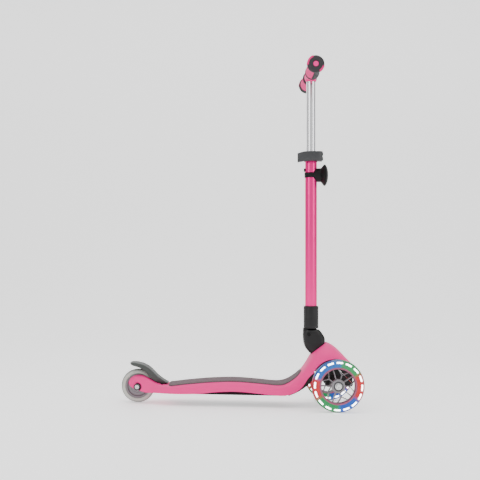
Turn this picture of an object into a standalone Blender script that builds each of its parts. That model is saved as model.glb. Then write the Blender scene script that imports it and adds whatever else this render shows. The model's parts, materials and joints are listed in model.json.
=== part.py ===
"""Three-wheeled folding kick scooter for a small child, modelled as separate pieces.

Metres, +Z up, +X towards the front wheels. The origin is on the floor, under the
middle of the scooter's box. The steering column leans back by COLUMN_LEAN; its
pieces are modelled upright and stand under an empty that carries the lean.
"""
import math

import bmesh
import bpy
from mathutils import Matrix, Vector

# ---------------------------------------------------------------- driving dimensions
REAR_AXLE_X = -0.2431
FRONT_AXLE_X = 0.2226
REAR_RADIUS = 0.0400
FRONT_RADIUS = 0.0605
FRONT_TRACK = 0.220
TYRE_WIDTH = 0.024
REAR_TYRE_WIDTH = 0.022
GAP = 0.0003
SIDES = (("right", -1), ("left", 1))

COLUMN_FOOT_X = 0.1710
COLUMN_LEAN = math.radians(1.163)
SLEEVE_RADIUS = 0.0178
SLEEVE_TOP = 0.2385
OUTER_TUBE_RADIUS = 0.0140
OUTER_TUBE_BORE = 0.0123
INNER_TUBE_RADIUS = 0.0111
INNER_TUBE_BORE = 0.0097
OUTER_TUBE_TOP = 0.6040
BAR_HEIGHT = 0.7896
GRIP_RADIUS = 0.0165
GRIP_FLANGE_RADIUS = 0.0191

FOLD_PIVOT = (0.1610, 0.1710)
FOLD_BARREL_RADIUS = 0.0132
FOLD_TONGUE_HALF = 0.0088
KNUCKLE_HALF = 0.0175

MAT_HALF_WIDTH = 0.0465
BRAKE_PIVOT = (-0.1850, 0.0470)
DECK_WALL = 0.0040
MAT_THICKNESS = 0.0015
MAT_CLEARANCE = 0.0006
MAT_FRONT = 0.1440
FLOOR_PLATE_BOTTOM = 0.0277
FLOOR_PLATE_MARGIN = 0.0040
ARCH_RADIUS = 0.0565

BELL_HEIGHT = 0.5510
CLAMP_BOTTOM = 0.5835
CLAMP_TOP = 0.6068
CLAMP_BOLT_X = 0.0215
CLAMP_PIN_REACH = 0.0172
HEIGHT_BUTTON_HEIGHT = 0.5630
HEIGHT_SETTINGS = 4
SETTING_STEP = 0.050

# ---------------------------------------------------------------- materials
MATERIALS = {
    "pink_plastic": ((0.84, 0.12, 0.33), 0.42, 0.0),
    "pink_anodised": ((0.80, 0.10, 0.32), 0.26, 0.85),
    "silver_tube": ((0.80, 0.80, 0.81), 0.22, 1.0),
    "black_plastic": ((0.02, 0.02, 0.021), 0.50, 0.0),
    "dark_grey_plastic": ((0.12, 0.12, 0.125), 0.55, 0.0),
    "brake_plastic": ((0.10, 0.11, 0.105), 0.55, 0.0),
    "grip_rubber": ((0.06, 0.055, 0.06), 0.80, 0.0),
    "mat_rubber": ((0.25, 0.22, 0.22), 0.80, 0.0),
    "clear_tyre": ((0.86, 0.87, 0.86), 0.15, 0.0),
    "light_strip": ((0.95, 0.97, 0.98), 0.30, 0.0),
    "wheel_core": ((0.42, 0.40, 0.42), 0.35, 0.1),
    "steel": ((0.62, 0.62, 0.63), 0.30, 1.0),
    "bell_plastic": ((0.04, 0.04, 0.042), 0.45, 0.0),
}


def clear_scene():
    for obj in list(bpy.data.objects):
        bpy.data.objects.remove(obj, do_unlink=True)


def make_materials():
    made = {}
    for name, (colour, roughness, metallic) in MATERIALS.items():
        material = bpy.data.materials.new(name)
        material.use_nodes = True
        shader = material.node_tree.nodes["Principled BSDF"]
        shader.inputs["Base Color"].default_value = (*colour, 1.0)
        shader.inputs["Roughness"].default_value = roughness
        shader.inputs["Metallic"].default_value = metallic
        made[name] = material
    return made


clear_scene()
MATERIAL = make_materials()


# ---------------------------------------------------------------- mesh helpers
def new_object(name, bm, material, parent=None, location=(0.0, 0.0, 0.0), rotation=None):
    """Turn a bmesh into a named, smooth-shaded object."""
    bmesh.ops.recalc_face_normals(bm, faces=bm.faces)
    mesh = bpy.data.meshes.new(name)
    bm.to_mesh(mesh)
    bm.free()
    mesh.shade_smooth()
    mesh.set_sharp_from_angle(angle=math.radians(35.0))
    obj = bpy.data.objects.new(name, mesh)
    bpy.context.scene.collection.objects.link(obj)
    if material:
        mesh.materials.append(MATERIAL[material])
    obj.parent = parent
    obj.location = location
    if rotation:
        obj.rotation_euler = rotation
    return obj


def frame_at(origin, direction):
    """Matrix that carries local +Z onto direction, with its origin at origin."""
    turn = Vector((0.0, 0.0, 1.0)).rotation_difference(Vector(direction).normalized())
    return Matrix.Translation(Vector(origin)) @ turn.to_matrix().to_4x4()


def add_lathe(bm, profile, segments, place=None):
    """Turn a closed (radius, height) profile about local Z; radius 0 closes on the axis."""
    place = place or Matrix.Identity(4)
    rings = []
    for radius, height in profile:
        if radius < 1e-6:
            rings.append([bm.verts.new(place @ Vector((0.0, 0.0, height)))])
            continue
        ring = []
        for step in range(segments):
            turn = 2.0 * math.pi * step / segments
            spot = Vector((radius * math.cos(turn), radius * math.sin(turn), height))
            ring.append(bm.verts.new(place @ spot))
        rings.append(ring)
    on_axis = len(rings[0]) == 1
    pairs = list(zip(rings, rings[1:]))
    if not on_axis:
        pairs.append((rings[-1], rings[0]))
    for low, high in pairs:
        if len(low) == 1 and len(high) == 1:
            continue
        for step in range(segments):
            after = (step + 1) % segments
            if len(low) == 1:
                bm.faces.new((low[0], high[after], high[step]))
            elif len(high) == 1:
                bm.faces.new((low[step], low[after], high[0]))
            else:
                bm.faces.new((low[step], low[after], high[after], high[step]))


def lathe(name, profile, segments, material, parent=None, origin=(0, 0, 0), direction=(0, 0, 1)):
    bm = bmesh.new()
    add_lathe(bm, profile, segments, frame_at(origin, direction))
    return new_object(name, bm, material, parent)


def rod(radius, low, high, chamfer=0.0004):
    """Profile of a solid round bar with small chamfers."""
    return [(0.0, low), (radius - chamfer, low), (radius, low + chamfer),
            (radius, high - chamfer), (radius - chamfer, high), (0.0, high)]


def pipe(outer, inner, low, high, chamfer=0.0004):
    """Profile of a round tube with small chamfers."""
    return [(inner, low), (outer - chamfer, low), (outer, low + chamfer),
            (outer, high - chamfer), (outer - chamfer, high), (inner, high)]


def add_prism(bm, outline, low, high, place=None):
    """Extrude an (x, z) outline from y = low to y = high."""
    place = place or Matrix.Identity(4)
    near = [bm.verts.new(place @ Vector((x, low, z))) for x, z in outline]
    far = [bm.verts.new(place @ Vector((x, high, z))) for x, z in outline]
    bm.faces.new(near)
    bm.faces.new(list(reversed(far)))
    count = len(outline)
    for step in range(count):
        after = (step + 1) % count
        bm.faces.new((near[after], near[step], far[step], far[after]))


def prism(name, outline, low, high, material, parent=None, place=None):
    bm = bmesh.new()
    add_prism(bm, outline, low, high, place)
    return new_object(name, bm, material, parent)


def arc(centre, radius, start, end, steps):
    """Points on an arc in degrees, both ends included."""
    points = []
    for step in range(steps + 1):
        turn = math.radians(start + (end - start) * step / steps)
        points.append((centre[0] + radius * math.cos(turn), centre[1] + radius * math.sin(turn)))
    return points


def smooth_line(points, at):
    """Height of a smooth curve through points (sorted by their first value)."""
    for index in range(len(points) - 1):
        if at <= points[index + 1][0] or index == len(points) - 2:
            break
    before, start, end = points[max(index - 1, 0)], points[index], points[index + 1]
    after = points[min(index + 2, len(points) - 1)]
    width = end[0] - start[0]
    part = min(max((at - start[0]) / width, 0.0), 1.0)
    slope_in = (end[1] - before[1]) / max(end[0] - before[0], 1e-9) * width
    slope_out = (after[1] - start[1]) / max(after[0] - start[0], 1e-9) * width
    square, cube = part * part, part * part * part
    return ((2 * cube - 3 * square + 1) * start[1] + (cube - 2 * square + part) * slope_in
            + (3 * square - 2 * cube) * end[1] + (cube - square) * slope_out)


def cut_with(target, cutter, operation="DIFFERENCE"):
    """Boolean target with a cutter that stays out of the build."""
    cutter.hide_render = True
    cutter.display_type = "WIRE"
    boolean = target.modifiers.new(cutter.name, "BOOLEAN")
    boolean.operation = operation
    boolean.object = cutter


def round_edges(obj, width, segments=1, angle=40.0):
    bevel = obj.modifiers.new("rounded_edges", "BEVEL")
    bevel.width = width
    bevel.segments = segments
    bevel.limit_method = "ANGLE"
    bevel.angle_limit = math.radians(angle)


# ---------------------------------------------------------------- deck outline
# Side view, (x, z): the deck's top line dips, rises as a goose neck and comes down the nose.
TOP_LINE = [(-0.264, 0.0520), (-0.259, 0.0603), (-0.250, 0.0658), (-0.240, 0.0674), (-0.228, 0.0660),
            (-0.212, 0.0577), (-0.198, 0.0500), (-0.180, 0.0462), (-0.160, 0.0472), (-0.120, 0.0525),
            (-0.070, 0.0575), (-0.012, 0.0600), (0.045, 0.0570), (0.085, 0.0540), (0.104, 0.0562),
            (0.116, 0.0612), (0.125, 0.0668), (0.134, 0.0738), (0.1435, 0.0840), (0.1547, 0.1000),
            (0.1686, 0.1250), (0.186, 0.1480),
            (0.203, 0.1530), (0.221, 0.1450), (0.236, 0.1322), (0.249, 0.1190), (0.258, 0.1100)]
BOTTOM_LINE = [(-0.264, 0.0480), (-0.259, 0.0400), (-0.240, 0.0322), (-0.221, 0.0272), (-0.200, 0.0275),
               (-0.130, 0.0280), (-0.095, 0.0298), (-0.055, 0.0342), (-0.012, 0.0362), (0.028, 0.0340),
               (0.080, 0.0292), (0.104, 0.0290), (0.120, 0.0326), (0.135, 0.0400), (0.147, 0.0510),
               (0.162, 0.0740), (0.180, 0.0880), (0.225, 0.0920), (0.258, 0.0980)]
# Plan view, (x, half width), and how square each cross-section is.
WIDTH_LINE = [(-0.264, 0.0240), (-0.257, 0.0290), (-0.240, 0.0320), (-0.212, 0.0365), (-0.185, 0.0480),
              (-0.160, 0.0555), (-0.130, 0.0580), (0.085, 0.0580), (0.120, 0.0560), (0.150, 0.0520),
              (0.180, 0.0570), (0.215, 0.0600), (0.245, 0.0520), (0.258, 0.0430)]
SQUARENESS_LINE = [(-0.264, 4.0), (-0.200, 5.0), (-0.150, 4.8), (0.095, 4.8), (0.135, 4.2),
                   (0.165, 2.7), (0.205, 2.3), (0.258, 2.4)]
HALF_RING = 6


def cross_section(x, inset=0.0, drop=0.0):
    """Closed ring of (y, z) at station x; inset shrinks it, drop lowers its underside."""
    top = smooth_line(TOP_LINE, x) - inset
    bottom = smooth_line(BOTTOM_LINE, x) - drop
    half = smooth_line(WIDTH_LINE, x) - inset
    power = 2.0 / smooth_line(SQUARENESS_LINE, x)
    ring = []
    for step in range(HALF_RING * 2 + 1):
        turn = math.pi * step / (HALF_RING * 2)
        side, rise = math.cos(turn), math.sin(turn)
        y = half * math.copysign(abs(side) ** power, side)
        ring.append((y, bottom + (top - bottom) * abs(rise) ** power))
    return ring


def stations(start, end, count):
    return [start + (end - start) * step / (count - 1) for step in range(count)]


def loft(name, places, section, material, parent=None):
    """Skin closed rings of (y, z), one at each x in places, with flat ends."""
    bm = bmesh.new()
    rings = [[bm.verts.new((x, y, z)) for y, z in section(x)] for x in places]
    for low, high in zip(rings, rings[1:]):
        for step in range(len(low)):
            after = (step + 1) % len(low)
            bm.faces.new((low[step], low[after], high[after], high[step]))
    bm.faces.new(list(reversed(rings[0])))
    bm.faces.new(rings[-1])
    return new_object(name, bm, material, parent)


# The saddle is the sloping face at the top of the neck that carries the folding joint.
SADDLE_REAR = Vector((0.1640, 0.0, 0.1226))
SADDLE_FRONT = Vector((0.2050, 0.0, 0.1545))
SADDLE_ALONG = (SADDLE_FRONT - SADDLE_REAR).normalized()
SADDLE_UP = Vector((-SADDLE_ALONG.z, 0.0, SADDLE_ALONG.x))
SADDLE_THICKNESS = 0.0115
SADDLE_MIDDLE = (Vector((0.1676, 0.0, 0.1254)) + Vector((0.2021, 0.0, 0.1522))) / 2.0


def saddle_point(along, up):
    """(x, z) of a point given by its distance along and above the saddle face."""
    spot = SADDLE_MIDDLE + SADDLE_ALONG * along + SADDLE_UP * up
    return (spot.x, spot.z)


DECK_STATIONS = (stations(-0.264, -0.232, 6) + stations(-0.224, -0.176, 6) + stations(-0.160, 0.085, 11)
                 + stations(0.098, 0.258, 15))


def nose_bay_section(x):
    """Ring of the hollow in the nose, kept well below the saddle face."""
    ceiling = SADDLE_MIDDLE.z + (x - SADDLE_MIDDLE.x) * SADDLE_ALONG.z / SADDLE_ALONG.x - SADDLE_THICKNESS
    ring = cross_section(min(x, 0.2579), DECK_WALL + 0.0005, 0.05)
    return [(y, min(z, ceiling)) for y, z in ring]


def make_deck_shell():
    deck = loft("deck_shell", DECK_STATIONS, cross_section, "pink_plastic")

    wheel_well = lathe("cut_wheel_well", [(0.0, -0.0152), (0.0445, -0.0152), (0.0445, 0.0152), (0.0, 0.0152)],
                       40, None, origin=(REAR_AXLE_X, 0.0, REAR_RADIUS), direction=(0, 1, 0))
    cut_with(deck, wheel_well)
    axle_hole = lathe("cut_axle_hole", [(0.0, -0.06), (0.0043, -0.06), (0.0043, 0.06), (0.0, 0.06)],
                      16, None, origin=(REAR_AXLE_X, 0.0, REAR_RADIUS), direction=(0, 1, 0))
    cut_with(deck, axle_hole)

    pocket = prism("cut_brake_pocket", [(-0.2010, 0.0380), (-0.1780, 0.0380), (-0.1740, 0.0600),
                                        (-0.2010, 0.0600)], -0.0198, 0.0198, None)
    cut_with(deck, pocket)
    pin_hole = lathe("cut_brake_pin_hole", [(0.0, -0.0294), (0.0023, -0.0294), (0.0023, 0.0294),
                                            (0.0, 0.0294)],
                     16, None, origin=(BRAKE_PIVOT[0], 0.0, BRAKE_PIVOT[1]), direction=(0, 1, 0))
    cut_with(deck, pin_hole)
    hollow = loft("cut_deck_hollow", stations(-0.166, 0.128, 15),
                  lambda x: cross_section(x, DECK_WALL, 0.03), None)
    cut_with(deck, hollow)
    nose_bay = loft("cut_nose_bay", stations(0.1645, 0.270, 10), nose_bay_section, None)
    cut_with(deck, nose_bay)

    saddle = prism("cut_saddle", [saddle_point(-0.040, 0.0), saddle_point(0.0260, 0.0),
                                  saddle_point(0.0260, 0.040), saddle_point(-0.040, 0.040)],
                   -0.08, 0.08, None)
    cut_with(deck, saddle)
    bore = lathe("cut_neck_bore", [(0.0, -0.045), (0.0083, -0.045), (0.0083, 0.03), (0.0, 0.03)], 24, None,
                 origin=(SADDLE_MIDDLE.x, 0.0, SADDLE_MIDDLE.z), direction=SADDLE_UP)
    cut_with(deck, bore)
    wheel_arch = lathe("cut_wheel_arch", [(0.0, -0.12), (ARCH_RADIUS, -0.12), (ARCH_RADIUS, 0.12),
                                           (0.0, 0.12)], 56, None,
                       origin=(FRONT_AXLE_X, 0.0, FRONT_RADIUS), direction=(0, 1, 0))
    cut_with(deck, wheel_arch)
    return deck


def make_deck_mat():
    """Grey standing mat, lying on the deck's top with its edges rolled down."""
    bm = bmesh.new()
    across = [-1.0, -0.96, -0.75, -0.4, 0.0, 0.4, 0.75, 0.96, 1.0]
    along = [-0.1680, -0.1640] + [x for x in DECK_STATIONS if -0.161 < x < MAT_FRONT]
    grid = {"under": [], "over": []}
    for x in along:
        from_end = min(x - along[0], along[-1] - x)
        half = MAT_HALF_WIDTH - 0.010 * max(0.0, 1.0 - from_end / 0.010) ** 2
        half -= 0.012 * max(0.0, (x - 0.100) / 0.034)
        low, high = [], []
        for part in across:
            y = half * part
            ground = deck_top(x, y) + MAT_CLEARANCE
            thick = MAT_THICKNESS * (0.35 if abs(part) == 1.0 or from_end < 1e-6 else 1.0)
            low.append(bm.verts.new((x, y, ground)))
            high.append(bm.verts.new((x, y, ground + thick)))
        grid["under"].append(low)
        grid["over"].append(high)
    last_row, last_column = len(along) - 1, len(across) - 1
    for i in range(last_row):
        for j in range(last_column):
            for side in grid.values():
                bm.faces.new((side[i][j], side[i + 1][j], side[i + 1][j + 1], side[i][j + 1]))
    under, over = grid["under"], grid["over"]
    for i in range(last_row):
        for j in (0, last_column):
            bm.faces.new((under[i][j], under[i + 1][j], over[i + 1][j], over[i][j]))
    for j in range(last_column):
        for i in (0, last_row):
            bm.faces.new((under[i][j], under[i][j + 1], over[i][j + 1], over[i][j]))
    return new_object("deck_mat", bm, "mat_rubber")


def deck_top(x, y):
    """Height of the deck's outer skin above (x, y)."""
    top, bottom = smooth_line(TOP_LINE, x), smooth_line(BOTTOM_LINE, x)
    square = smooth_line(SQUARENESS_LINE, x)
    side = min(abs(y) / smooth_line(WIDTH_LINE, x), 1.0)
    return bottom + (top - bottom) * (1.0 - side ** square) ** (1.0 / square)


def make_floor_plate():
    """Dark plate that closes the hollow of the deck; its underside is the lowest flat face."""
    def section(x):
        half = smooth_line(WIDTH_LINE, x) - DECK_WALL - FLOOR_PLATE_MARGIN
        low, high = FLOOR_PLATE_BOTTOM, FLOOR_PLATE_BOTTOM + 0.0030
        return [(half, low), (half, high), (-half, high), (-half, low)]
    loft("floor_plate", stations(-0.163, 0.108, 12), section, "black_plastic")
    for name, x in (("floor_screw_rear", -0.150), ("floor_screw_front", 0.085)):
        lathe(name, rod(0.0036, GAP, 0.0018, 0.0006), 16, "steel",
              origin=(x, 0.0, FLOOR_PLATE_BOTTOM), direction=(0, 0, -1))


def make_nose_liner():
    """Black cover under the goose neck, between the floor plate and the steering truck."""
    line = [(0.114, 0.0268), (0.128, 0.0325), (0.141, 0.0392), (0.155, 0.0490), (0.1640, 0.0565),
            (0.1690, 0.0640), (0.1745, 0.0760)]

    def section(x):
        low = smooth_line(line, x)
        high = max(smooth_line(BOTTOM_LINE, x) - 0.0016, low + 0.0010)
        half = 0.046 - 0.004 * (x - 0.114) / 0.05
        return [(half - 0.003, low), (half, low + 0.0007), (half, high), (-half, high),
                (-half, low + 0.0007), (-half + 0.003, low)]
    loft("nose_liner", stations(0.114, 0.1640, 9) + [0.1690, 0.1745], section, "black_plastic")


# ---------------------------------------------------------------- steering truck
KINGPIN_TILT = math.radians(45.0)
KINGPIN_CENTRE = Vector((0.2145, 0.0, 0.0885))
KINGPIN_AXIS = Vector((math.sin(KINGPIN_TILT), 0.0, math.cos(KINGPIN_TILT)))
HUB_UPPER = 0.0138
HUB_LOWER = -0.0170
KINGPIN_RADIUS = 0.0048
# Side view, (x, z), of the black filler that shows under the tip of the nose.
NOSE_BLOCK = [(0.2265, 0.0975), (0.2665, 0.0575), (0.2668, 0.0900), (0.2645, 0.1000), (0.2600, 0.1080),
              (0.2588, 0.1085), (0.2588, 0.0985), (0.2440, 0.1095), (0.2340, 0.1160)]


def make_truck():
    """Axle carrier that swivels on the inclined kingpin, with its pin, housing and springs."""
    upper = KINGPIN_CENTRE.x + KINGPIN_CENTRE.z + HUB_UPPER * math.sqrt(2.0)
    block = [(0.1900, upper - 0.2115), (0.2115, upper - 0.2115), (upper - 0.0560, 0.0560), (0.2640, 0.0515),
             (0.2400, 0.0490), (0.2060, 0.0490), (0.1950, 0.0620), (0.1860, 0.0700), (0.1800, 0.0880)]
    truck = prism("truck_carrier", block, -0.034, 0.034, "black_plastic")
    beam = [(0.2086, 0.0560), (0.2130, 0.0490), (0.2322, 0.0490), (0.2366, 0.0560), (0.2366, 0.0680),
            (0.2310, 0.0740), (0.2142, 0.0740), (0.2086, 0.0680)]
    cut_with(truck, prism("join_axle_beam", beam, -0.0945, 0.0945, None), "UNION")
    bore = lathe("cut_kingpin_bore", [(0.0, -0.05), (KINGPIN_RADIUS + GAP, -0.05),
                                      (KINGPIN_RADIUS + GAP, 0.05), (0.0, 0.05)],
                 20, None, origin=KINGPIN_CENTRE, direction=KINGPIN_AXIS)
    cut_with(truck, bore)
    recess = lathe("cut_kingpin_recess", [(0.0, -0.060), (0.0150, -0.060), (0.0150, HUB_LOWER), (0.0, HUB_LOWER)],
                   24, None, origin=KINGPIN_CENTRE, direction=KINGPIN_AXIS)
    cut_with(truck, recess)
    for side in (-1, 1):
        hole = lathe(f"cut_axle_bore_{side}", [(0.0, 0.055), (0.0043, 0.055), (0.0043, 0.12), (0.0, 0.12)],
                     16, None, origin=(FRONT_AXLE_X, 0.0, FRONT_RADIUS), direction=(0, side, 0))
        cut_with(truck, hole)
        pocket = lathe(f"cut_spring_pocket_{side}", [(0.0, HUB_UPPER - 0.006), (0.0062, HUB_UPPER - 0.006),
                                                     (0.0062, 0.03), (0.0, 0.03)],
                       16, None, origin=KINGPIN_CENTRE + Vector((0.0, 0.024 * side, 0.0)),
                       direction=KINGPIN_AXIS)
        cut_with(truck, pocket)
    lathe("kingpin", [(0.0, -0.0270), (KINGPIN_RADIUS - 0.0005, -0.0270), (KINGPIN_RADIUS, -0.0265),
                      (KINGPIN_RADIUS, 0.0340), (0.0, 0.0340)], 20, "steel",
          origin=KINGPIN_CENTRE, direction=KINGPIN_AXIS)
    nut = [(KINGPIN_RADIUS + 2 * GAP, HUB_LOWER - 0.0075), (0.0082, HUB_LOWER - 0.0075),
           (0.0088, HUB_LOWER - 0.0068), (0.0088, HUB_LOWER - 0.0020), (0.0120, HUB_LOWER - 0.0020),
           (0.0120, HUB_LOWER - GAP), (KINGPIN_RADIUS + 2 * GAP, HUB_LOWER - GAP)]
    lathe("kingpin_nut", nut, 12, "steel", origin=KINGPIN_CENTRE, direction=KINGPIN_AXIS)
    housing_low = HUB_UPPER + 0.0006
    housing = lathe("pivot_housing", [(0.0, housing_low), (0.0160, housing_low), (0.0170, housing_low + 0.001),
                                      (0.0170, 0.0360), (0.0150, 0.0390), (0.0, 0.0390)], 28, "black_plastic",
                    origin=KINGPIN_CENTRE, direction=KINGPIN_AXIS)
    lug = arc((0.0, 0.024), 0.0085, 0.0, 180.0, 8) + arc((0.0, -0.024), 0.0085, 180.0, 360.0, 8)
    yoke = prism("join_housing_yoke", lug, housing_low + 0.0001, 0.0270, None,
                 place=frame_at(KINGPIN_CENTRE, KINGPIN_AXIS) @ Matrix.Rotation(math.pi / 2.0, 4, "X"))
    cut_with(housing, yoke, "UNION")
    nose_block = prism("join_nose_block", NOSE_BLOCK, -0.0200, 0.0200, None)
    cut_with(housing, nose_block, "UNION")
    socket = lathe("cut_housing_socket", [(0.0, 0.0), (KINGPIN_RADIUS + GAP, 0.0),
                                          (KINGPIN_RADIUS + GAP, 0.0344), (0.0, 0.0344)], 20, None,
                   origin=KINGPIN_CENTRE, direction=KINGPIN_AXIS)
    cut_with(housing, socket)
    for word, side in SIDES:
        spring = bmesh.new()
        add_coil(spring, 0.0048, 0.0008, HUB_UPPER - 0.0055, HUB_UPPER - 0.0006, 2.0,
                 frame_at(KINGPIN_CENTRE + Vector((0.0, 0.024 * side, 0.0)), KINGPIN_AXIS))
        new_object(f"centring_spring_{word}", spring, "steel")


def add_coil(bm, radius, wire, low, high, turns, place, per_turn=9, around=4):
    """Helical spring of round wire between two heights, with flat sealed ends."""
    rings = []
    count = int(turns * per_turn)
    low, high = low + wire, high - wire
    for step in range(count + 1):
        part = step / count
        turn = 2.0 * math.pi * turns * part
        outward = Vector((math.cos(turn), math.sin(turn), 0.0))
        centre = outward * radius + Vector((0.0, 0.0, low + (high - low) * part))
        ring = []
        for side in range(around):
            angle = 2.0 * math.pi * side / around
            spot = centre + outward * wire * math.cos(angle) + Vector((0, 0, wire * math.sin(angle)))
            ring.append(bm.verts.new(place @ spot))
        rings.append(ring)
    for first, second in zip(rings, rings[1:]):
        for side in range(around):
            after = (side + 1) % around
            bm.faces.new((first[side], first[after], second[after], second[side]))
    bm.faces.new(rings[0])
    bm.faces.new(list(reversed(rings[-1])))


# ---------------------------------------------------------------- wheels
SPOKE_COUNT = 5
SPOKE_HALF = 0.00095


def tyre_profile(inner, outer, width, groove=None):
    """Closed (radius, height) outline of a rounded tyre, with an optional groove inside."""
    half = width / 2.0
    profile = [(inner, -half), (outer - 0.0065, -half), (outer - 0.0018, -half + 0.0032),
               (outer, -half + 0.0090), (outer, half - 0.0090), (outer - 0.0018, half - 0.0032),
               (outer - 0.0065, half), (inner, half)]
    if groove:
        depth, reach = groove
        profile += [(inner, reach), (inner + depth, reach), (inner + depth, -reach), (inner, -reach)]
    return profile


def spoke_windows():
    """Outlines of the openings between the spokes, as (radius, angle) points.

    Straight spokes alternate with forked ones, so each fifth of the wheel has one window
    inside the fork and one on each side of it.
    """
    half, inner, outer = SPOKE_HALF, 0.0164, 0.0386
    fork_at = inner + (outer - inner) * 0.46
    spread = math.radians(19.0)
    windows = []
    for step in range(SPOKE_COUNT):
        straight = 2.0 * math.pi * step / SPOKE_COUNT + math.radians(108.0)
        forked = straight + math.pi / SPOKE_COUNT
        edge = spread - half / outer
        windows.append([(fork_at + 2.6 * half, forked), (outer, forked - edge), (outer, forked), (outer, forked + edge)])
        for side in (-1, 1):
            beside = forked + side * math.pi / SPOKE_COUNT
            arm = spread + half * 1.15 / outer
            rim_end, arm_end = beside - side * half / outer, forked + side * arm
            windows.append([(inner, beside - side * half / inner), (outer, rim_end),
                            (outer, (rim_end + arm_end) / 2.0), (outer, arm_end),
                            (fork_at, forked + side * 1.25 * half / fork_at),
                            (inner, forked + side * half / inner)])
    return windows


def make_bearing(name, centre, facing, low):
    """Sealed ball bearing, 22 mm by 8 mm by 7 mm, drawn as one ring."""
    ring = [(0.0040, low), (0.0108, low), (0.0110, low + 0.0002), (0.0110, low + 0.0070), (0.0040, low + 0.0070)]
    lathe(name, ring, 20, "steel", origin=centre, direction=facing)


def make_front_wheel(word, side):
    centre = Vector((FRONT_AXLE_X, FRONT_TRACK / 2.0 * side, FRONT_RADIUS))
    outward = (0, side, 0)
    place = frame_at(centre, outward)
    lathe(f"front_tyre_{word}", tyre_profile(0.0470, FRONT_RADIUS, TYRE_WIDTH, (0.0045, 0.0088)), 36,
          "clear_tyre", origin=centre, direction=outward)
    strip = [(0.0470 + GAP, -0.0085), (0.0512, -0.0085), (0.0512, 0.0085), (0.0470 + GAP, 0.0085)]
    lathe(f"light_strip_{word}", strip, 32, "light_strip", origin=centre, direction=outward)
    web_low, web_high = -0.0040, 0.0072
    body = [(0.0113, -0.0118), (0.0156, -0.0118), (0.0156, web_low), (0.0392, web_low), (0.0392, -0.0106),
            (0.0467, -0.0106), (0.0467, 0.0106), (0.0392, 0.0106), (0.0392, web_high), (0.0156, web_high),
            (0.0156, 0.0118), (0.0113, 0.0118), (0.0113, 0.0035), (0.0062, 0.0035), (0.0062, -0.0035),
            (0.0113, -0.0035)]
    core = lathe(f"front_core_{word}", body, 30, "wheel_core", origin=centre, direction=outward)
    bm = bmesh.new()
    upright = place @ Matrix.Rotation(math.pi / 2.0, 4, "X")
    for window in spoke_windows():
        outline = [(radius * math.cos(turn), -radius * math.sin(turn)) for radius, turn in window]
        add_prism(bm, outline, -0.0100, 0.0100, upright)
    cut_with(core, new_object(f"cut_windows_{word}", bm, None))
    make_bearing(f"front_bearing_outer_{word}", centre, outward, 0.0035 + GAP)
    make_bearing(f"front_bearing_inner_{word}", centre, outward, -0.0105 - GAP)
    bolt = [(0.0, -0.0420), (0.0034, -0.0420), (0.0037, -0.0416), (0.0037, 0.0112), (0.0074, 0.0112),
            (0.0078, 0.0116), (0.0078, 0.0126), (0.0062, 0.0128), (0.0058, 0.0146), (0.0050, 0.0154),
            (0.0026, 0.0154), (0.0026, 0.0136), (0.0, 0.0136)]
    lathe(f"front_axle_bolt_{word}", bolt, 16, "steel", origin=centre, direction=outward)


def make_rear_wheel():
    centre = (REAR_AXLE_X, 0.0, REAR_RADIUS)
    across = (0, -1, 0)
    lathe("rear_tyre", tyre_profile(0.0290, REAR_RADIUS, REAR_TYRE_WIDTH), 32, "clear_tyre",
          origin=centre, direction=across)
    core_half = REAR_TYRE_WIDTH / 2.0 - 0.0008
    core = [(0.0113, -core_half), (0.0150, -core_half), (0.0165, -0.0060), (0.0235, -0.0060),
            (0.0250, -0.0098), (0.0280, -0.0098), (0.0287, -0.0092), (0.0287, 0.0092), (0.0280, 0.0098),
            (0.0250, 0.0098), (0.0235, 0.0060), (0.0165, 0.0060), (0.0150, core_half), (0.0113, core_half),
            (0.0113, 0.0032), (0.0062, 0.0032), (0.0062, -0.0032), (0.0113, -0.0032)]
    lathe("rear_core", core, 22, "wheel_core", origin=centre, direction=across)
    make_bearing("rear_bearing_right", centre, across, 0.0032 + GAP)
    make_bearing("rear_bearing_left", centre, across, -0.0102 - GAP)
    head = [(0.0, -0.0390), (0.0034, -0.0390), (0.0038, -0.0386), (0.0038, 0.0325), (0.0070, 0.0325),
            (0.0076, 0.0331), (0.0070, 0.0350), (0.0050, 0.0358), (0.0028, 0.0358), (0.0028, 0.0342),
            (0.0, 0.0342)]
    lathe("rear_axle_bolt", head, 16, "steel", origin=centre, direction=across)
    hole = (0.0038 + GAP) / math.cos(math.pi / 6.0)
    nut = [(hole, -0.0375), (0.0058, -0.0375), (0.0070, -0.0366), (0.0070, -0.0331), (0.0076, -0.0325),
           (hole, -0.0325)]
    lathe("rear_axle_nut", nut, 6, "steel", origin=centre, direction=across)


# ---------------------------------------------------------------- rear brake
BRAKE_TOP = [(-0.2616, 0.0957), (-0.2497, 0.0958), (-0.2353, 0.0932), (-0.2256, 0.0894), (-0.2159, 0.0836),
             (-0.2062, 0.0750), (-0.1964, 0.0656), (-0.1867, 0.0585), (-0.1770, 0.0532), (-0.1725, 0.0512)]
BRAKE_UNDER = [(-0.2600, 0.0908), (-0.2524, 0.0882), (-0.2428, 0.0856), (-0.2357, 0.0826), (-0.2261, 0.0768),
               (-0.2188, 0.0686), (-0.2090, 0.0585), (-0.1994, 0.0520), (-0.1898, 0.0490), (-0.1790, 0.0482)]


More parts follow.
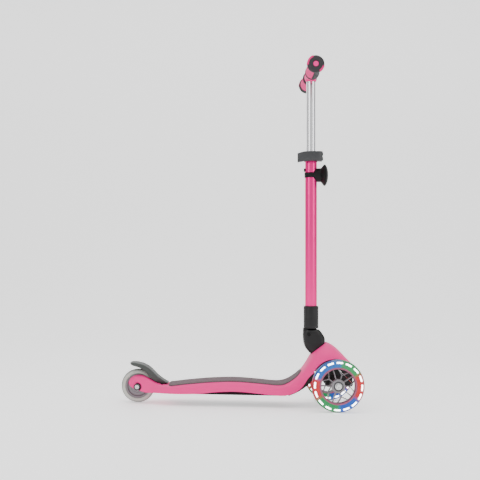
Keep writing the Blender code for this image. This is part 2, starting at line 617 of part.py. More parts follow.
def make_brake():
    """Foot brake over the rear wheel, its hinge pin in the deck and its return spring."""
    bm = bmesh.new()
    count = 19
    across = [-1.0, -0.94, -0.6, -0.2, 0.2, 0.6, 0.94, 1.0]
    rings = []
    for step in range(count):
        part = step / (count - 1)
        top_x = BRAKE_TOP[0][0] + (BRAKE_TOP[-1][0] - BRAKE_TOP[0][0]) * part
        under_x = BRAKE_UNDER[0][0] + (BRAKE_UNDER[-1][0] - BRAKE_UNDER[0][0]) * part
        top, under = smooth_line(BRAKE_TOP, top_x), smooth_line(BRAKE_UNDER, under_x)
        half = 0.0270 - 0.0065 * max(0.0, (part - 0.45) / 0.55) - 0.006 * max(0.0, 1.0 - part / 0.08) ** 2
        ring = []
        for place in across:
            ring.append(bm.verts.new((top_x, half * place, top - 0.0016 * (abs(place) == 1.0))))
        for place in reversed(across):
            ring.append(bm.verts.new((under_x, half * place, under + 0.0010 * (abs(place) == 1.0))))
        rings.append(ring)
    for low, high in zip(rings, rings[1:]):
        for step in range(len(low)):
            after = (step + 1) % len(low)
            bm.faces.new((low[step], low[after], high[after], high[step]))
    bm.faces.new(list(reversed(rings[0])))
    bm.faces.new(rings[-1])
    brake = new_object("rear_brake", bm, "brake_plastic")
    pivot = (BRAKE_PIVOT[0], 0.0, BRAKE_PIVOT[1])
    over_tyre = lathe("cut_over_tyre", [(0.0, -0.0126), (0.0432, -0.0126), (0.0432, 0.0126), (0.0, 0.0126)],
                      48, None, origin=(REAR_AXLE_X, 0.0, REAR_RADIUS), direction=(0, 1, 0))
    cut_with(brake, over_tyre)
    barrel = lathe("join_brake_barrel", [(0.0, -0.0190), (0.0052, -0.0190), (0.0052, 0.0125), (0.0, 0.0125)],
                   20, None, origin=pivot, direction=(0, 1, 0))
    cut_with(brake, barrel, "UNION")
    hole = lathe("cut_brake_hole", [(0.0, -0.04), (0.0023, -0.04), (0.0023, 0.04), (0.0, 0.04)],
                 16, None, origin=pivot, direction=(0, 1, 0))
    cut_with(brake, hole)
    spring_bay = lathe("cut_brake_spring_bay", [(0.0, 0.0126), (0.0050, 0.0126), (0.0050, 0.0189), (0.0, 0.0189)],
                       18, None, origin=pivot, direction=(0, 1, 0))
    cut_with(brake, spring_bay)
    lathe("brake_pin", rod(0.0020, -0.0290, 0.0290), 16, "steel", origin=pivot, direction=(0, 1, 0))
    spring = bmesh.new()
    add_coil(spring, 0.0036, 0.0006, 0.0130, 0.0185, 3.0, frame_at(pivot, (0, 1, 0)))
    new_object("brake_spring", spring, "steel")


# ---------------------------------------------------------------- folding joint
ELBOW_CENTRE = (0.1915, 0.1600)
ELBOW_RADIUS = 0.0425
PARTING = FOLD_PIVOT[1] + FOLD_BARREL_RADIUS
LEVER_PIN = (0.1945, 0.1530)


def make_fold_knuckle():
    """Bent lower half of the folding joint, seated on the saddle, with cheeks for the pin."""
    outline = arc(FOLD_PIVOT, FOLD_BARREL_RADIUS, 90.0, 180.0, 7)
    outline += arc(ELBOW_CENTRE, ELBOW_RADIUS, 184.0, 231.0, 7)
    outline += [saddle_point(-0.0218, GAP), saddle_point(0.0190, GAP), (0.1988, 0.1590), (0.1962, 0.1650),
                (0.1936, 0.1714), (0.1893, 0.1770), (0.1850, 0.1820), (0.1838, PARTING)]
    outline.reverse()
    knuckle = prism("fold_knuckle", outline, -KNUCKLE_HALF, KNUCKLE_HALF, "black_plastic")
    round_edges(knuckle, 0.0062, 2, 60.0)
    foot = (SADDLE_MIDDLE.x, 0.0, SADDLE_MIDDLE.z)
    spigot = lathe("join_spigot", [(0.0, -0.0095), (0.0080, -0.0095), (0.0080, 0.0060), (0.0, 0.0060)], 24, None,
                   origin=foot, direction=SADDLE_UP)
    cut_with(knuckle, spigot, "UNION")
    slot = prism("cut_tongue_slot", [(0.1400, 0.1565), (0.1755, 0.1565), (0.1755, 0.2000), (0.1400, 0.2000)],
                 -FOLD_TONGUE_HALF - GAP, FOLD_TONGUE_HALF + GAP, None)
    cut_with(knuckle, slot)
    lever_bay = prism("cut_lever_bay", [saddle_point(0.0105, 0.0012), saddle_point(0.0240, 0.0012),
                                        (0.2150, 0.1900), (0.1795, 0.1900), (0.1800, 0.1715), (0.1840, 0.1600)],
                      -0.0121, 0.0121, None)
    cut_with(knuckle, lever_bay)
    pin_hole = lathe("cut_fold_pin_hole", [(0.0, -0.03), (0.0033, -0.03), (0.0033, 0.03), (0.0, 0.03)], 20, None,
                     origin=(FOLD_PIVOT[0], 0.0, FOLD_PIVOT[1]), direction=(0, 1, 0))
    cut_with(knuckle, pin_hole)
    lever_hole = lathe("cut_lever_pin_hole", [(0.0, -0.0142), (0.0018, -0.0142), (0.0018, 0.0142),
                                              (0.0, 0.0142)],
                       14, None, origin=(LEVER_PIN[0], 0.0, LEVER_PIN[1]), direction=(0, 1, 0))
    cut_with(knuckle, lever_hole)
    bolt_hole = lathe("cut_spigot_bolt_hole", [(0.0, -0.02), (0.0033, -0.02), (0.0033, 0.0090), (0.0, 0.0090)],
                      16, None, origin=foot, direction=SADDLE_UP)
    cut_with(knuckle, bolt_hole)
    bolt = [(0.0, -0.0165), (0.0040, -0.0165), (0.0046, -0.0160), (0.0046, -0.0122), (0.0095, -0.0122),
            (0.0095, -0.0102), (0.0030, -0.0102), (0.0030, 0.0080), (0.0, 0.0080)]
    lathe("knuckle_bolt", bolt, 18, "steel", origin=foot, direction=SADDLE_UP)
    pin = [(0.0, -0.0190), (0.0042, -0.0190), (0.0050, -0.0184), (0.0050, -0.0178), (0.0030, -0.0178),
           (0.0030, 0.0178), (0.0050, 0.0178), (0.0050, 0.0184), (0.0042, 0.0190), (0.0, 0.0190)]
    lathe("fold_pin", pin, 20, "steel", origin=(FOLD_PIVOT[0], 0.0, FOLD_PIVOT[1]), direction=(0, 1, 0))


def make_fold_lever():
    """Release lever on the front of the joint, on its own pin, pushed out by a small spring."""
    outline = [(0.1846, 0.1834), (0.1840, 0.1710), (0.1868, 0.1610), saddle_point(0.0115, 0.0020),
               saddle_point(0.0212, 0.0020), (0.2000, 0.1615), (0.1956, 0.1706), (0.1895, 0.1787)]
    lever = prism("fold_lever", outline, -0.0116, 0.0116, "black_plastic")
    round_edges(lever, 0.0022, 2, 40.0)
    hole = lathe("cut_lever_hole", [(0.0, -0.03), (0.0018, -0.03), (0.0018, 0.03), (0.0, 0.03)], 14, None,
                 origin=(LEVER_PIN[0], 0.0, LEVER_PIN[1]), direction=(0, 1, 0))
    cut_with(lever, hole)
    lathe("fold_lever_pin", rod(0.0015, -0.0138, 0.0138, 0.0003), 14, "steel",
          origin=(LEVER_PIN[0], 0.0, LEVER_PIN[1]), direction=(0, 1, 0))


# ---------------------------------------------------------------- leaning column
def make_column_frame():
    """Empty on the floor that carries the column's backward lean."""
    empty = bpy.data.objects.new("column_frame", None)
    bpy.context.scene.collection.objects.link(empty)
    empty.location = (COLUMN_FOOT_X, 0.0, 0.0)
    empty.rotation_euler = (0.0, -COLUMN_LEAN, 0.0)
    return empty


COLUMN = make_column_frame()
PIVOT_ON_COLUMN = ((FOLD_PIVOT[0] - COLUMN_FOOT_X) * math.cos(COLUMN_LEAN)
                   + FOLD_PIVOT[1] * math.sin(COLUMN_LEAN),
                   FOLD_PIVOT[1] * math.cos(COLUMN_LEAN)
                   - (FOLD_PIVOT[0] - COLUMN_FOOT_X) * math.sin(COLUMN_LEAN))


def make_column_sleeve():
    """Upper half of the folding joint: a cup for the outer tube with a tongue for the pin."""
    low = PIVOT_ON_COLUMN[1] + FOLD_BARREL_RADIUS + 0.0005
    bore, floor = OUTER_TUBE_RADIUS + GAP, low + 0.0080
    cup = [(0.0, low), (SLEEVE_RADIUS - 0.0004, low), (SLEEVE_RADIUS, low + 0.0004),
           (SLEEVE_RADIUS, SLEEVE_TOP - 0.0020), (SLEEVE_RADIUS - 0.0014, SLEEVE_TOP), (bore, SLEEVE_TOP),
           (bore, floor), (0.0, floor)]
    sleeve = lathe("column_sleeve", cup, 24, "black_plastic", COLUMN)
    px, pz = PIVOT_ON_COLUMN
    radius = FOLD_BARREL_RADIUS - 0.0006
    tongue = arc((px, pz), radius, 180.0, 360.0, 12)
    tongue += [(px + radius, low + 0.0030), (-0.0150, low + 0.0030), (px - radius, low - 0.0002)]
    block = prism("join_tongue", tongue, -FOLD_TONGUE_HALF, FOLD_TONGUE_HALF, None, COLUMN)
    cut_with(sleeve, block, "UNION")
    hole = lathe("cut_tongue_hole", [(0.0, -0.03), (0.0033, -0.03), (0.0033, 0.03), (0.0, 0.03)], 20, None,
                 COLUMN, origin=(px, 0.0, pz), direction=(0, 1, 0))
    cut_with(sleeve, hole)
    return floor


def make_tubes(floor):
    """Pink outer tube, silver inner tube and the guide bush between them."""
    outer = lathe("outer_tube", pipe(OUTER_TUBE_RADIUS, OUTER_TUBE_BORE, floor + GAP, OUTER_TUBE_TOP), 24,
                  "pink_anodised", COLUMN)
    hole = lathe("cut_button_hole", [(0.0, 0.0), (0.0046, 0.0), (0.0046, 0.02), (0.0, 0.02)], 16, None, COLUMN,
                 origin=(0.0, 0.0, HEIGHT_BUTTON_HEIGHT), direction=(-1, 0, 0))
    cut_with(outer, hole)
    inner_low = HEIGHT_BUTTON_HEIGHT - 0.0300
    inner = lathe("inner_tube", pipe(INNER_TUBE_RADIUS, INNER_TUBE_BORE, inner_low, BAR_HEIGHT - 0.0156), 20,
                  "silver_tube", COLUMN)
    for setting in range(HEIGHT_SETTINGS):
        hole = lathe(f"cut_setting_{setting}", [(0.0, 0.0), (0.0042, 0.0), (0.0042, 0.02), (0.0, 0.02)], 12,
                     None, COLUMN, origin=(0.0, 0.0, HEIGHT_BUTTON_HEIGHT + SETTING_STEP * setting),
                     direction=(-1, 0, 0))
        cut_with(inner, hole)
    bush = [(INNER_TUBE_RADIUS + GAP, OUTER_TUBE_TOP - 0.0250), (OUTER_TUBE_BORE - GAP, OUTER_TUBE_TOP - 0.0250),
            (OUTER_TUBE_BORE - GAP, OUTER_TUBE_TOP + GAP), (OUTER_TUBE_RADIUS, OUTER_TUBE_TOP + GAP),
            (OUTER_TUBE_RADIUS, OUTER_TUBE_TOP + 0.0018), (INNER_TUBE_RADIUS + GAP, OUTER_TUBE_TOP + 0.0018)]
    lathe("tube_bush", bush, 20, "black_plastic", COLUMN)
    button = [(0.0, INNER_TUBE_RADIUS + GAP), (0.0034, INNER_TUBE_RADIUS + GAP),
              (0.0037, INNER_TUBE_RADIUS + 0.0006), (0.0037, 0.0145), (0.0043, 0.0162), (0.0036, 0.0170),
              (0.0, 0.0173)]
    lathe("height_button", button, 18, "black_plastic", COLUMN,
          origin=(0.0, 0.0, HEIGHT_BUTTON_HEIGHT), direction=(-1, 0, 0))


def make_clamp():
    """Quick-release clamp on top of the outer tube: split collar, draw bolt and wrap-round lever."""
    low, high = CLAMP_BOTTOM, CLAMP_TOP
    ring_top = OUTER_TUBE_TOP + 0.0022
    bore = OUTER_TUBE_RADIUS + GAP
    collar = lathe("clamp_collar", [(bore, low), (0.0168, low), (0.0176, low + 0.0008),
                                    (0.0176, high - 0.0008), (0.0168, high), (INNER_TUBE_RADIUS + 0.0006, high),
                                    (INNER_TUBE_RADIUS + 0.0006, ring_top), (bore, ring_top)], 22,
                   "dark_grey_plastic", COLUMN)
    bm = bmesh.new()
    for side in (-1, 1):
        near, far = sorted((0.0018 * side, 0.0090 * side))
        add_prism(bm, [(0.0150, low + 0.0006), (0.0262, low + 0.0006), (0.0285, low + 0.0030),
                       (0.0285, low + 0.0085), (0.0262, 0.5955), (0.0285, low + 0.0150), (0.0285, high - 0.0030),
                       (0.0262, high - 0.0006), (0.0150, high - 0.0006)], near, far)
    lugs = new_object("join_clamp_lugs", bm, None, COLUMN)
    cut_with(collar, lugs, "UNION")
    slit = prism("cut_clamp_slit", [(0.0100, low - 0.01), (0.0400, low - 0.01), (0.0400, high + 0.01),
                                    (0.0100, high + 0.01)], -0.0014, 0.0014, None, COLUMN)
    cut_with(collar, slit)
    middle = (low + high) / 2.0
    hole = lathe("cut_clamp_bolt_hole", [(0.0, -0.03), (0.0024, -0.03), (0.0024, 0.03), (0.0, 0.03)], 16, None,
                 COLUMN, origin=(CLAMP_BOLT_X, 0.0, middle), direction=(0, 1, 0))
    cut_with(collar, hole)
    bolt = [(0.0, -0.0150), (0.0021, -0.0150), (0.0021, 0.0092), (0.0042, 0.0092), (0.0046, 0.0096),
            (0.0046, 0.0122), (0.0040, 0.0128), (0.0, 0.0128)]
    draw_bolt = lathe("clamp_bolt", bolt, 18, "steel", COLUMN, origin=(CLAMP_BOLT_X, 0.0, middle), direction=(0, 1, 0))
    eye = lathe("join_bolt_eye", [(0.0, -0.0036), (0.0033, -0.0036), (0.0033, 0.0036), (0.0, 0.0036)], 18, None,
                COLUMN, origin=(CLAMP_BOLT_X, -CLAMP_PIN_REACH, middle))
    cut_with(draw_bolt, eye, "UNION")
    eye_hole = lathe("cut_bolt_eye", [(0.0, -0.02), (0.0016, -0.02), (0.0016, 0.02), (0.0, 0.02)], 12, None,
                     COLUMN, origin=(CLAMP_BOLT_X, -CLAMP_PIN_REACH, middle))
    cut_with(draw_bolt, eye_hole)
    lathe("clamp_pin", rod(0.0013, low + 0.0012, high - 0.0012, 0.0003), 12, "steel", COLUMN,
          origin=(CLAMP_BOLT_X, -CLAMP_PIN_REACH, 0.0))

    outer_side = [(0.0262, 0.0172), (0.0258, 0.0205), (0.0225, 0.0226), (0.0150, 0.0237), (0.0050, 0.0240),
                  (-0.0060, 0.0232), (-0.0150, 0.0214), (-0.0230, 0.0196), (-0.0300, 0.0182), (-0.0335, 0.0170)]
    inner_side = [(-0.0335, 0.0142), (-0.0240, 0.0150), (-0.0160, 0.0164), (-0.0090, 0.0184),
                  (0.0000, 0.0196), (0.0090, 0.0190), (0.0160, 0.0172), (0.0182, 0.0140), (0.0248, 0.0140)]
    upright = Matrix.Rotation(math.pi / 2.0, 4, "X")
    bm = bmesh.new()
    add_prism(bm, outer_side + inner_side, low + 0.0004, high - 0.0004, upright)
    for vert in bm.verts:
        droop = min(max((-vert.co.x - 0.012) / 0.020, 0.0), 1.0)
        vert.co.z -= 0.0045 * droop * droop
    lever = new_object("clamp_lever", bm, "dark_grey_plastic", COLUMN)
    round_edges(lever, 0.0010, 2, 50.0)
    mouth = prism("cut_lever_mouth", [(0.0150, middle - 0.0040), (0.0300, middle - 0.0040),
                                      (0.0300, middle + 0.0040), (0.0150, middle + 0.0040)],
                  -CLAMP_PIN_REACH - 0.0040, -0.0100, None, COLUMN)
    cut_with(lever, mouth)
    pin_hole = lathe("cut_lever_pin", [(0.0, low - 0.01), (0.0016, low - 0.01), (0.0016, high + 0.01),
                                       (0.0, high + 0.01)], 12, None, COLUMN,
                     origin=(CLAMP_BOLT_X, -CLAMP_PIN_REACH, 0.0))
    cut_with(lever, pin_hole)


def make_bell():
    """Twist bell on the front of the outer tube: strap, flared base and turning cap."""
    bore = OUTER_TUBE_RADIUS + GAP
    strap = lathe("bell_strap", pipe(0.0158, bore, BELL_HEIGHT - 0.0060, BELL_HEIGHT + 0.0060), 22,
                  "bell_plastic", COLUMN)
    facing = {"origin": (0.0, 0.0, BELL_HEIGHT), "direction": (1, 0, 0)}
    seat = lathe("join_bell_seat", [(0.0, 0.0060), (0.0150, 0.0060), (0.0160, 0.0070), (0.0167, 0.0200),
                                    (0.0167, 0.0233), (0.0, 0.0233)], 22, None, COLUMN, **facing)
    cut_with(strap, seat, "UNION")
    tube_way = lathe("cut_bell_tube", [(0.0, BELL_HEIGHT - 0.05), (bore, BELL_HEIGHT - 0.05),
                                       (bore, BELL_HEIGHT + 0.05), (0.0, BELL_HEIGHT + 0.05)], 22, None, COLUMN)
    cut_with(strap, tube_way)
    lathe("bell_base", [(0.0, 0.0236), (0.0162, 0.0236), (0.0172, 0.0242), (0.0205, 0.0268), (0.0246, 0.0300),
                        (0.0256, 0.0310), (0.0256, 0.0318), (0.0, 0.0318)], 24, "bell_plastic", COLUMN,
          **facing)
    lathe("bell_cap", [(0.0, 0.0380), (0.0140, 0.0372), (0.0205, 0.0345), (0.0230, 0.0322), (0.0254, 0.0322),
                       (0.0260, 0.0328), (0.0256, 0.0338), (0.0225, 0.0360), (0.0195, 0.0377), (0.0150, 0.0393),
                       (0.0080, 0.0404), (0.0, 0.0407)], 24, "bell_plastic", COLUMN, **facing)


# ---------------------------------------------------------------- handlebar
def make_handlebar():
    """Pink tee with its cross bar, and a charcoal grip with a pink insert on each side."""
    hub = [(0.0, -0.1335), (0.0100, -0.1335), (0.0104, -0.1330), (0.0104, -0.0318), (0.0128, -0.0312),
           (0.0138, -0.0290), (0.0142, -0.0180), (0.0150, 0.0), (0.0142, 0.0180), (0.0138, 0.0290),
           (0.0128, 0.0312), (0.0104, 0.0318), (0.0104, 0.1330), (0.0100, 0.1335), (0.0, 0.1335)]
    middle = (0.0, 0.0, BAR_HEIGHT)
    tee = lathe("handlebar_tee", hub, 20, "pink_plastic", COLUMN, origin=middle, direction=(0, 1, 0))
    plug_low = BAR_HEIGHT - 0.0420
    plug = lathe("join_tee_plug", [(0.0, plug_low), (0.0086, plug_low), (0.0093, plug_low + 0.001),
                                   (0.0093, BAR_HEIGHT - 0.0152), (0.0125, BAR_HEIGHT - 0.0152),
                                   (0.0130, BAR_HEIGHT), (0.0, BAR_HEIGHT)], 20, None, COLUMN)
    cut_with(tee, plug, "UNION")
    for word, side in SIDES:
        facing = {"origin": middle, "direction": (0, side, 0)}
        bore = 0.0104 + GAP
        body = [(bore, 0.0322), (0.0152, 0.0322), (0.0170, 0.0334), (0.0172, 0.0356), (0.0160, 0.0378),
                (0.0158, 0.0600), (0.0152, 0.0850), (0.0156, 0.1120), (0.0164, 0.1250), (0.0186, 0.1285),
                (GRIP_FLANGE_RADIUS, 0.1310), (GRIP_FLANGE_RADIUS, 0.1350), (0.0180, 0.1382),
                (0.0160, 0.1395), (0.0064, 0.1395), (0.0064, 0.1350), (bore, 0.1338)]
        grip = lathe(f"grip_{word}", body, 20, "grip_rubber", COLUMN, **facing)
        grip_pocket = insert_block(f"cut_grip_pocket_{word}", 0.0136, 0.0200, GAP, side, None)
        cut_with(grip, grip_pocket)
        insert_block(f"grip_insert_{word}", 0.0140, 0.0166, 0.0, side, "pink_plastic")
        cap = [(0.0, 0.1353), (0.0060, 0.1353), (0.0061, 0.1392), (0.0054, 0.1400), (0.0, 0.1400)]
        lathe(f"end_cap_{word}", cap, 18, "pink_plastic", COLUMN, **facing)


def insert_block(name, inner, outer, spare, side, material):
    """Curved strip along the rider's side of a grip; spare widens it all round for its pocket."""
    widen = math.degrees(spare / inner)
    start, end = 152.0 - widen, 262.0 + widen
    outline = arc((0.0, BAR_HEIGHT), outer, start, end, 10)
    outline += arc((0.0, BAR_HEIGHT), inner, end, start, 10)
    low, high = sorted((side * (0.0460 - spare), side * (0.1180 + spare)))
    return prism(name, outline, low, high, material, COLUMN)


make_deck_shell()
make_deck_mat()
make_floor_plate()
make_nose_liner()
make_truck()
for side_word, side_sign in SIDES:
    make_front_wheel(side_word, side_sign)
make_rear_wheel()
make_brake()
make_fold_knuckle()
make_fold_lever()
make_tubes(make_column_sleeve())
make_clamp()
make_bell()
make_handlebar()
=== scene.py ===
"""Looks of a child's three-wheeled kick scooter, built over its CAD frame. Metres, +X forward, +Z up."""
import json
import math

import bmesh
import bpy
from mathutils import Matrix, Vector


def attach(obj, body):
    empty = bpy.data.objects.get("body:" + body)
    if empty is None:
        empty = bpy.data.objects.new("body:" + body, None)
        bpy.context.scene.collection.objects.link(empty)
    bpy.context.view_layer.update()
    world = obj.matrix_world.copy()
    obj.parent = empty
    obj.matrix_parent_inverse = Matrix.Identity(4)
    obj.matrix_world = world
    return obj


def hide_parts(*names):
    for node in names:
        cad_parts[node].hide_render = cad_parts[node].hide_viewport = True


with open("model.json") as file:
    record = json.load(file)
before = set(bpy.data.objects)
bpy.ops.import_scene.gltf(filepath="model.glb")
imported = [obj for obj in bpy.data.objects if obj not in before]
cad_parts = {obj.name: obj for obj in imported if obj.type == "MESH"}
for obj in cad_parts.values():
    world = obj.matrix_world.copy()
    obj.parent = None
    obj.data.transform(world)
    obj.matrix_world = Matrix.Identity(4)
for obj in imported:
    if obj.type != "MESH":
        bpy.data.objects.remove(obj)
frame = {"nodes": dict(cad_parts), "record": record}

REAR_AXLE = Vector((-0.2431, 0.0, 0.0400))
FRONT_AXLE_X = 0.2226
FRONT_RADIUS = 0.0605
FRONT_TRACK = 0.220
SIDES = (("right", -1), ("left", 1))
LEAN = math.radians(1.163)
COLUMN = Matrix.Translation((0.1710, 0.0, 0.0)) @ Matrix.Rotation(-LEAN, 4, "Y")
BAR_HEIGHT = 0.7896
BELL_HEIGHT = 0.5510
PINK = (0.830, 0.018, 0.225)
LED_COUNT = 16
LED_RING = 0.0539
LED_HALF_TURN = math.radians(7.6)
LED_FIRST = 88.0
LED_REACH = 0.0123
SPOKE_COUNT = 5
SPOKE_HALF_WIDTH = 0.0062
BEARING_WIDTH = 0.0070
BEARING_GROOVE = 0.0005
BRAKE_PIVOT = (-0.1850, 0.0, 0.0470)
GRIP_RIBS = 20
RIB_PITCH = 0.0037
TONE_VARIATION = 0.06
# Sockets of a colour Mix node, which share their names and so go by number.
MIX_FACTOR, MIX_FIRST, MIX_SECOND, MIX_RESULT = 0, 6, 7, 2


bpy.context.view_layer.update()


# ---------------------------------------------------------------- finishes
def base_material(name):
    material = bpy.data.materials.new(name)
    material.use_nodes = True
    tree = material.node_tree
    shader = tree.nodes["Principled BSDF"]
    coordinate = tree.nodes.new("ShaderNodeTexCoord")
    return material, tree, shader, coordinate.outputs["Object"]


def noise(tree, vector, scale, detail=4.0, stretch=None):
    if stretch:
        mapping = tree.nodes.new("ShaderNodeMapping")
        mapping.inputs["Scale"].default_value = stretch
        tree.links.new(vector, mapping.inputs["Vector"])
        vector = mapping.outputs["Vector"]
    texture = tree.nodes.new("ShaderNodeTexNoise")
    texture.inputs["Scale"].default_value = scale
    texture.inputs["Detail"].default_value = detail
    tree.links.new(vector, texture.inputs["Vector"])
    return texture.outputs["Fac"]


def spread(tree, source, low, high):
    node = tree.nodes.new("ShaderNodeMapRange")
    node.inputs["To Min"].default_value = low
    node.inputs["To Max"].default_value = high
    tree.links.new(source, node.inputs["Value"])
    return node.outputs["Result"]


def blend_colours(tree, factor, first, second):
    node = tree.nodes.new("ShaderNodeMix")
    node.data_type = "RGBA"
    node.inputs[MIX_FIRST].default_value = (*first, 1.0)
    node.inputs[MIX_SECOND].default_value = (*second, 1.0)
    tree.links.new(factor, node.inputs[MIX_FACTOR])
    return node.outputs[MIX_RESULT]


def colour_ramp(tree, stops, factor):
    ramp = tree.nodes.new("ShaderNodeValToRGB")
    elements = ramp.color_ramp.elements
    while len(elements) < len(stops):
        elements.new(0.5)
    for element, (position, colour) in zip(elements, stops):
        element.position = position
        element.color = (*colour, 1.0)
    tree.links.new(factor, ramp.inputs["Fac"])
    return ramp.outputs["Color"]


def finish(name, colour, rough, metal=0.0, grain=900.0, depth=0.00002, edge=0.0006, stretch=None,
           specular=0.5, tint=(1.0, 1.0, 1.0)):
    """Principled finish with uneven tone and roughness, a fine grain and softened edges."""
    material, tree, shader, place = base_material(name)
    broad = noise(tree, place, 38.0)
    darker = tuple(value * (1.0 - TONE_VARIATION) for value in colour)
    tree.links.new(blend_colours(tree, broad, darker, colour), shader.inputs["Base Color"])
    fine = noise(tree, place, grain, 3.0, stretch)
    tree.links.new(spread(tree, fine, rough * 0.86, min(rough * 1.14, 1.0)), shader.inputs["Roughness"])
    shader.inputs["Metallic"].default_value = metal
    shader.inputs["Specular IOR Level"].default_value = specular
    shader.inputs["Specular Tint"].default_value = (*tint, 1.0)
    bump = tree.nodes.new("ShaderNodeBump")
    bump.inputs["Strength"].default_value = 0.6
    bump.inputs["Distance"].default_value = depth
    tree.links.new(fine, bump.inputs["Height"])
    if edge:
        soft = tree.nodes.new("ShaderNodeBevel")
        soft.samples = 4
        soft.inputs["Radius"].default_value = edge
        tree.links.new(soft.outputs["Normal"], bump.inputs["Normal"])
    tree.links.new(bump.outputs["Normal"], shader.inputs["Normal"])
    return material


def from_axle(tree, place, centre):
    """Position measured from the middle of a wheel."""
    shift = tree.nodes.new("ShaderNodeVectorMath")
    shift.operation = "SUBTRACT"
    shift.inputs[1].default_value = centre
    tree.links.new(place, shift.inputs[0])
    return shift.outputs["Vector"]


def wheel_angle(tree, place, centre):
    """Angle around a wheel's axle as 0 to 1: from behind it, under it, ahead, over it and back."""
    split = tree.nodes.new("ShaderNodeSeparateXYZ")
    tree.links.new(from_axle(tree, place, centre), split.inputs["Vector"])
    turn = tree.nodes.new("ShaderNodeMath")
    turn.operation = "ARCTAN2"
    tree.links.new(split.outputs["Z"], turn.inputs[0])
    tree.links.new(split.outputs["X"], turn.inputs[1])
    share = tree.nodes.new("ShaderNodeMapRange")
    share.inputs["From Min"].default_value = -math.pi
    share.inputs["From Max"].default_value = math.pi
    tree.links.new(turn.outputs["Value"], share.inputs["Value"])
    return share.outputs["Result"]


def wheel_radius(tree, place, centre, radius):
    """Distance from a wheel's axle as a share of the wheel's radius."""
    flat = tree.nodes.new("ShaderNodeVectorMath")
    flat.operation = "MULTIPLY"
    flat.inputs[1].default_value = (1.0, 0.0, 1.0)
    tree.links.new(from_axle(tree, place, centre), flat.inputs[0])
    length = tree.nodes.new("ShaderNodeVectorMath")
    length.operation = "LENGTH"
    tree.links.new(flat.outputs["Vector"], length.inputs[0])
    share = tree.nodes.new("ShaderNodeMath")
    share.operation = "DIVIDE"
    share.inputs[1].default_value = radius
    tree.links.new(length.outputs["Value"], share.inputs[0])
    return share.outputs["Value"]


# (share of the wheel's radius, colour) of a clear tyre: grey, darker towards its inner and outer edges as
# painted shade.
TYRE_GREY_AND_EDGE_SHADE = [(0.70, (0.20, 0.20, 0.18)), (0.79, (0.50, 0.50, 0.45)), (0.90, (0.44, 0.44, 0.40)),
         (0.945, (0.26, 0.26, 0.24)), (0.985, (0.15, 0.15, 0.14))]
# (share of the turn from -180 degrees, colour) round a lit front wheel.
GLOW = [(0.00, (0.80, 0.010, 0.022)), (0.075, (0.75, 0.012, 0.030)), (0.105, (0.005, 0.33, 0.085)),
        (0.245, (0.006, 0.36, 0.10)), (0.275, (0.004, 0.10, 0.62)), (0.395, (0.008, 0.12, 0.62)),
        (0.425, (0.80, 0.010, 0.020)), (0.572, (0.80, 0.010, 0.020)), (0.600, (0.010, 0.40, 0.090)),
        (0.722, (0.010, 0.36, 0.110)), (0.745, (0.002, 0.17, 0.62)), (0.935, (0.002, 0.14, 0.62)),
        (0.965, (0.80, 0.012, 0.030))]


def lit_material(name, centre, rough, strength, whiten, body_tone, painted_rim_shade):
    """Milky plastic lit from inside by coloured lights; its tone runs from body_tone at the middle to a darker
    tone at the rim, painted shade for the dark outline at the wheel's edge.
    """
    material, tree, shader, place = base_material(name)
    colour = colour_ramp(tree, GLOW, wheel_angle(tree, place, centre))
    pale = tree.nodes.new("ShaderNodeMix")
    pale.data_type = "RGBA"
    pale.inputs[MIX_FACTOR].default_value = whiten
    pale.inputs[MIX_SECOND].default_value = (1.0, 1.0, 1.0, 1.0)
    tree.links.new(colour, pale.inputs[MIX_FIRST])
    dim = tree.nodes.new("ShaderNodeMix")
    dim.data_type = "RGBA"
    dim.blend_type = "MULTIPLY"
    dim.inputs[MIX_FACTOR].default_value = 1.0
    tree.links.new(pale.outputs[MIX_RESULT], dim.inputs[MIX_FIRST])
    # painted shade: the colour darkens by radius towards the outer rim, standing for the dark outline at the
    # wheel's edge
    shade = spread(tree, wheel_radius(tree, place, centre, FRONT_RADIUS), body_tone, painted_rim_shade)
    shade.node.inputs["From Min"].default_value = 0.93
    shade.node.inputs["From Max"].default_value = 0.98
    tree.links.new(shade, dim.inputs[MIX_SECOND])
    tree.links.new(dim.outputs[MIX_RESULT], shader.inputs["Base Color"])
    tree.links.new(dim.outputs[MIX_RESULT], shader.inputs["Emission Color"])
    shader.inputs["Emission Strength"].default_value = strength
    fine = noise(tree, place, 140.0)
    tree.links.new(spread(tree, fine, rough * 0.8, rough * 1.2), shader.inputs["Roughness"])
    return material


def clear_material(name, centre, radius):
    """Cast clear plastic in grey, darkened towards its outer and inner edges as painted shade, palest in a
    ring nearer its inner edge.
    """
    material, tree, shader, place = base_material(name)
    # painted shade: the ramp darkens the grey tyre by radius towards both of its edges
    tone_and_edge_shade = colour_ramp(tree, TYRE_GREY_AND_EDGE_SHADE, wheel_radius(tree, place, centre, radius))
    tree.links.new(tone_and_edge_shade, shader.inputs["Base Color"])
    tree.links.new(spread(tree, noise(tree, place, 160.0), 0.14, 0.26), shader.inputs["Roughness"])
    shader.inputs["Alpha"].default_value = 0.86
    return material


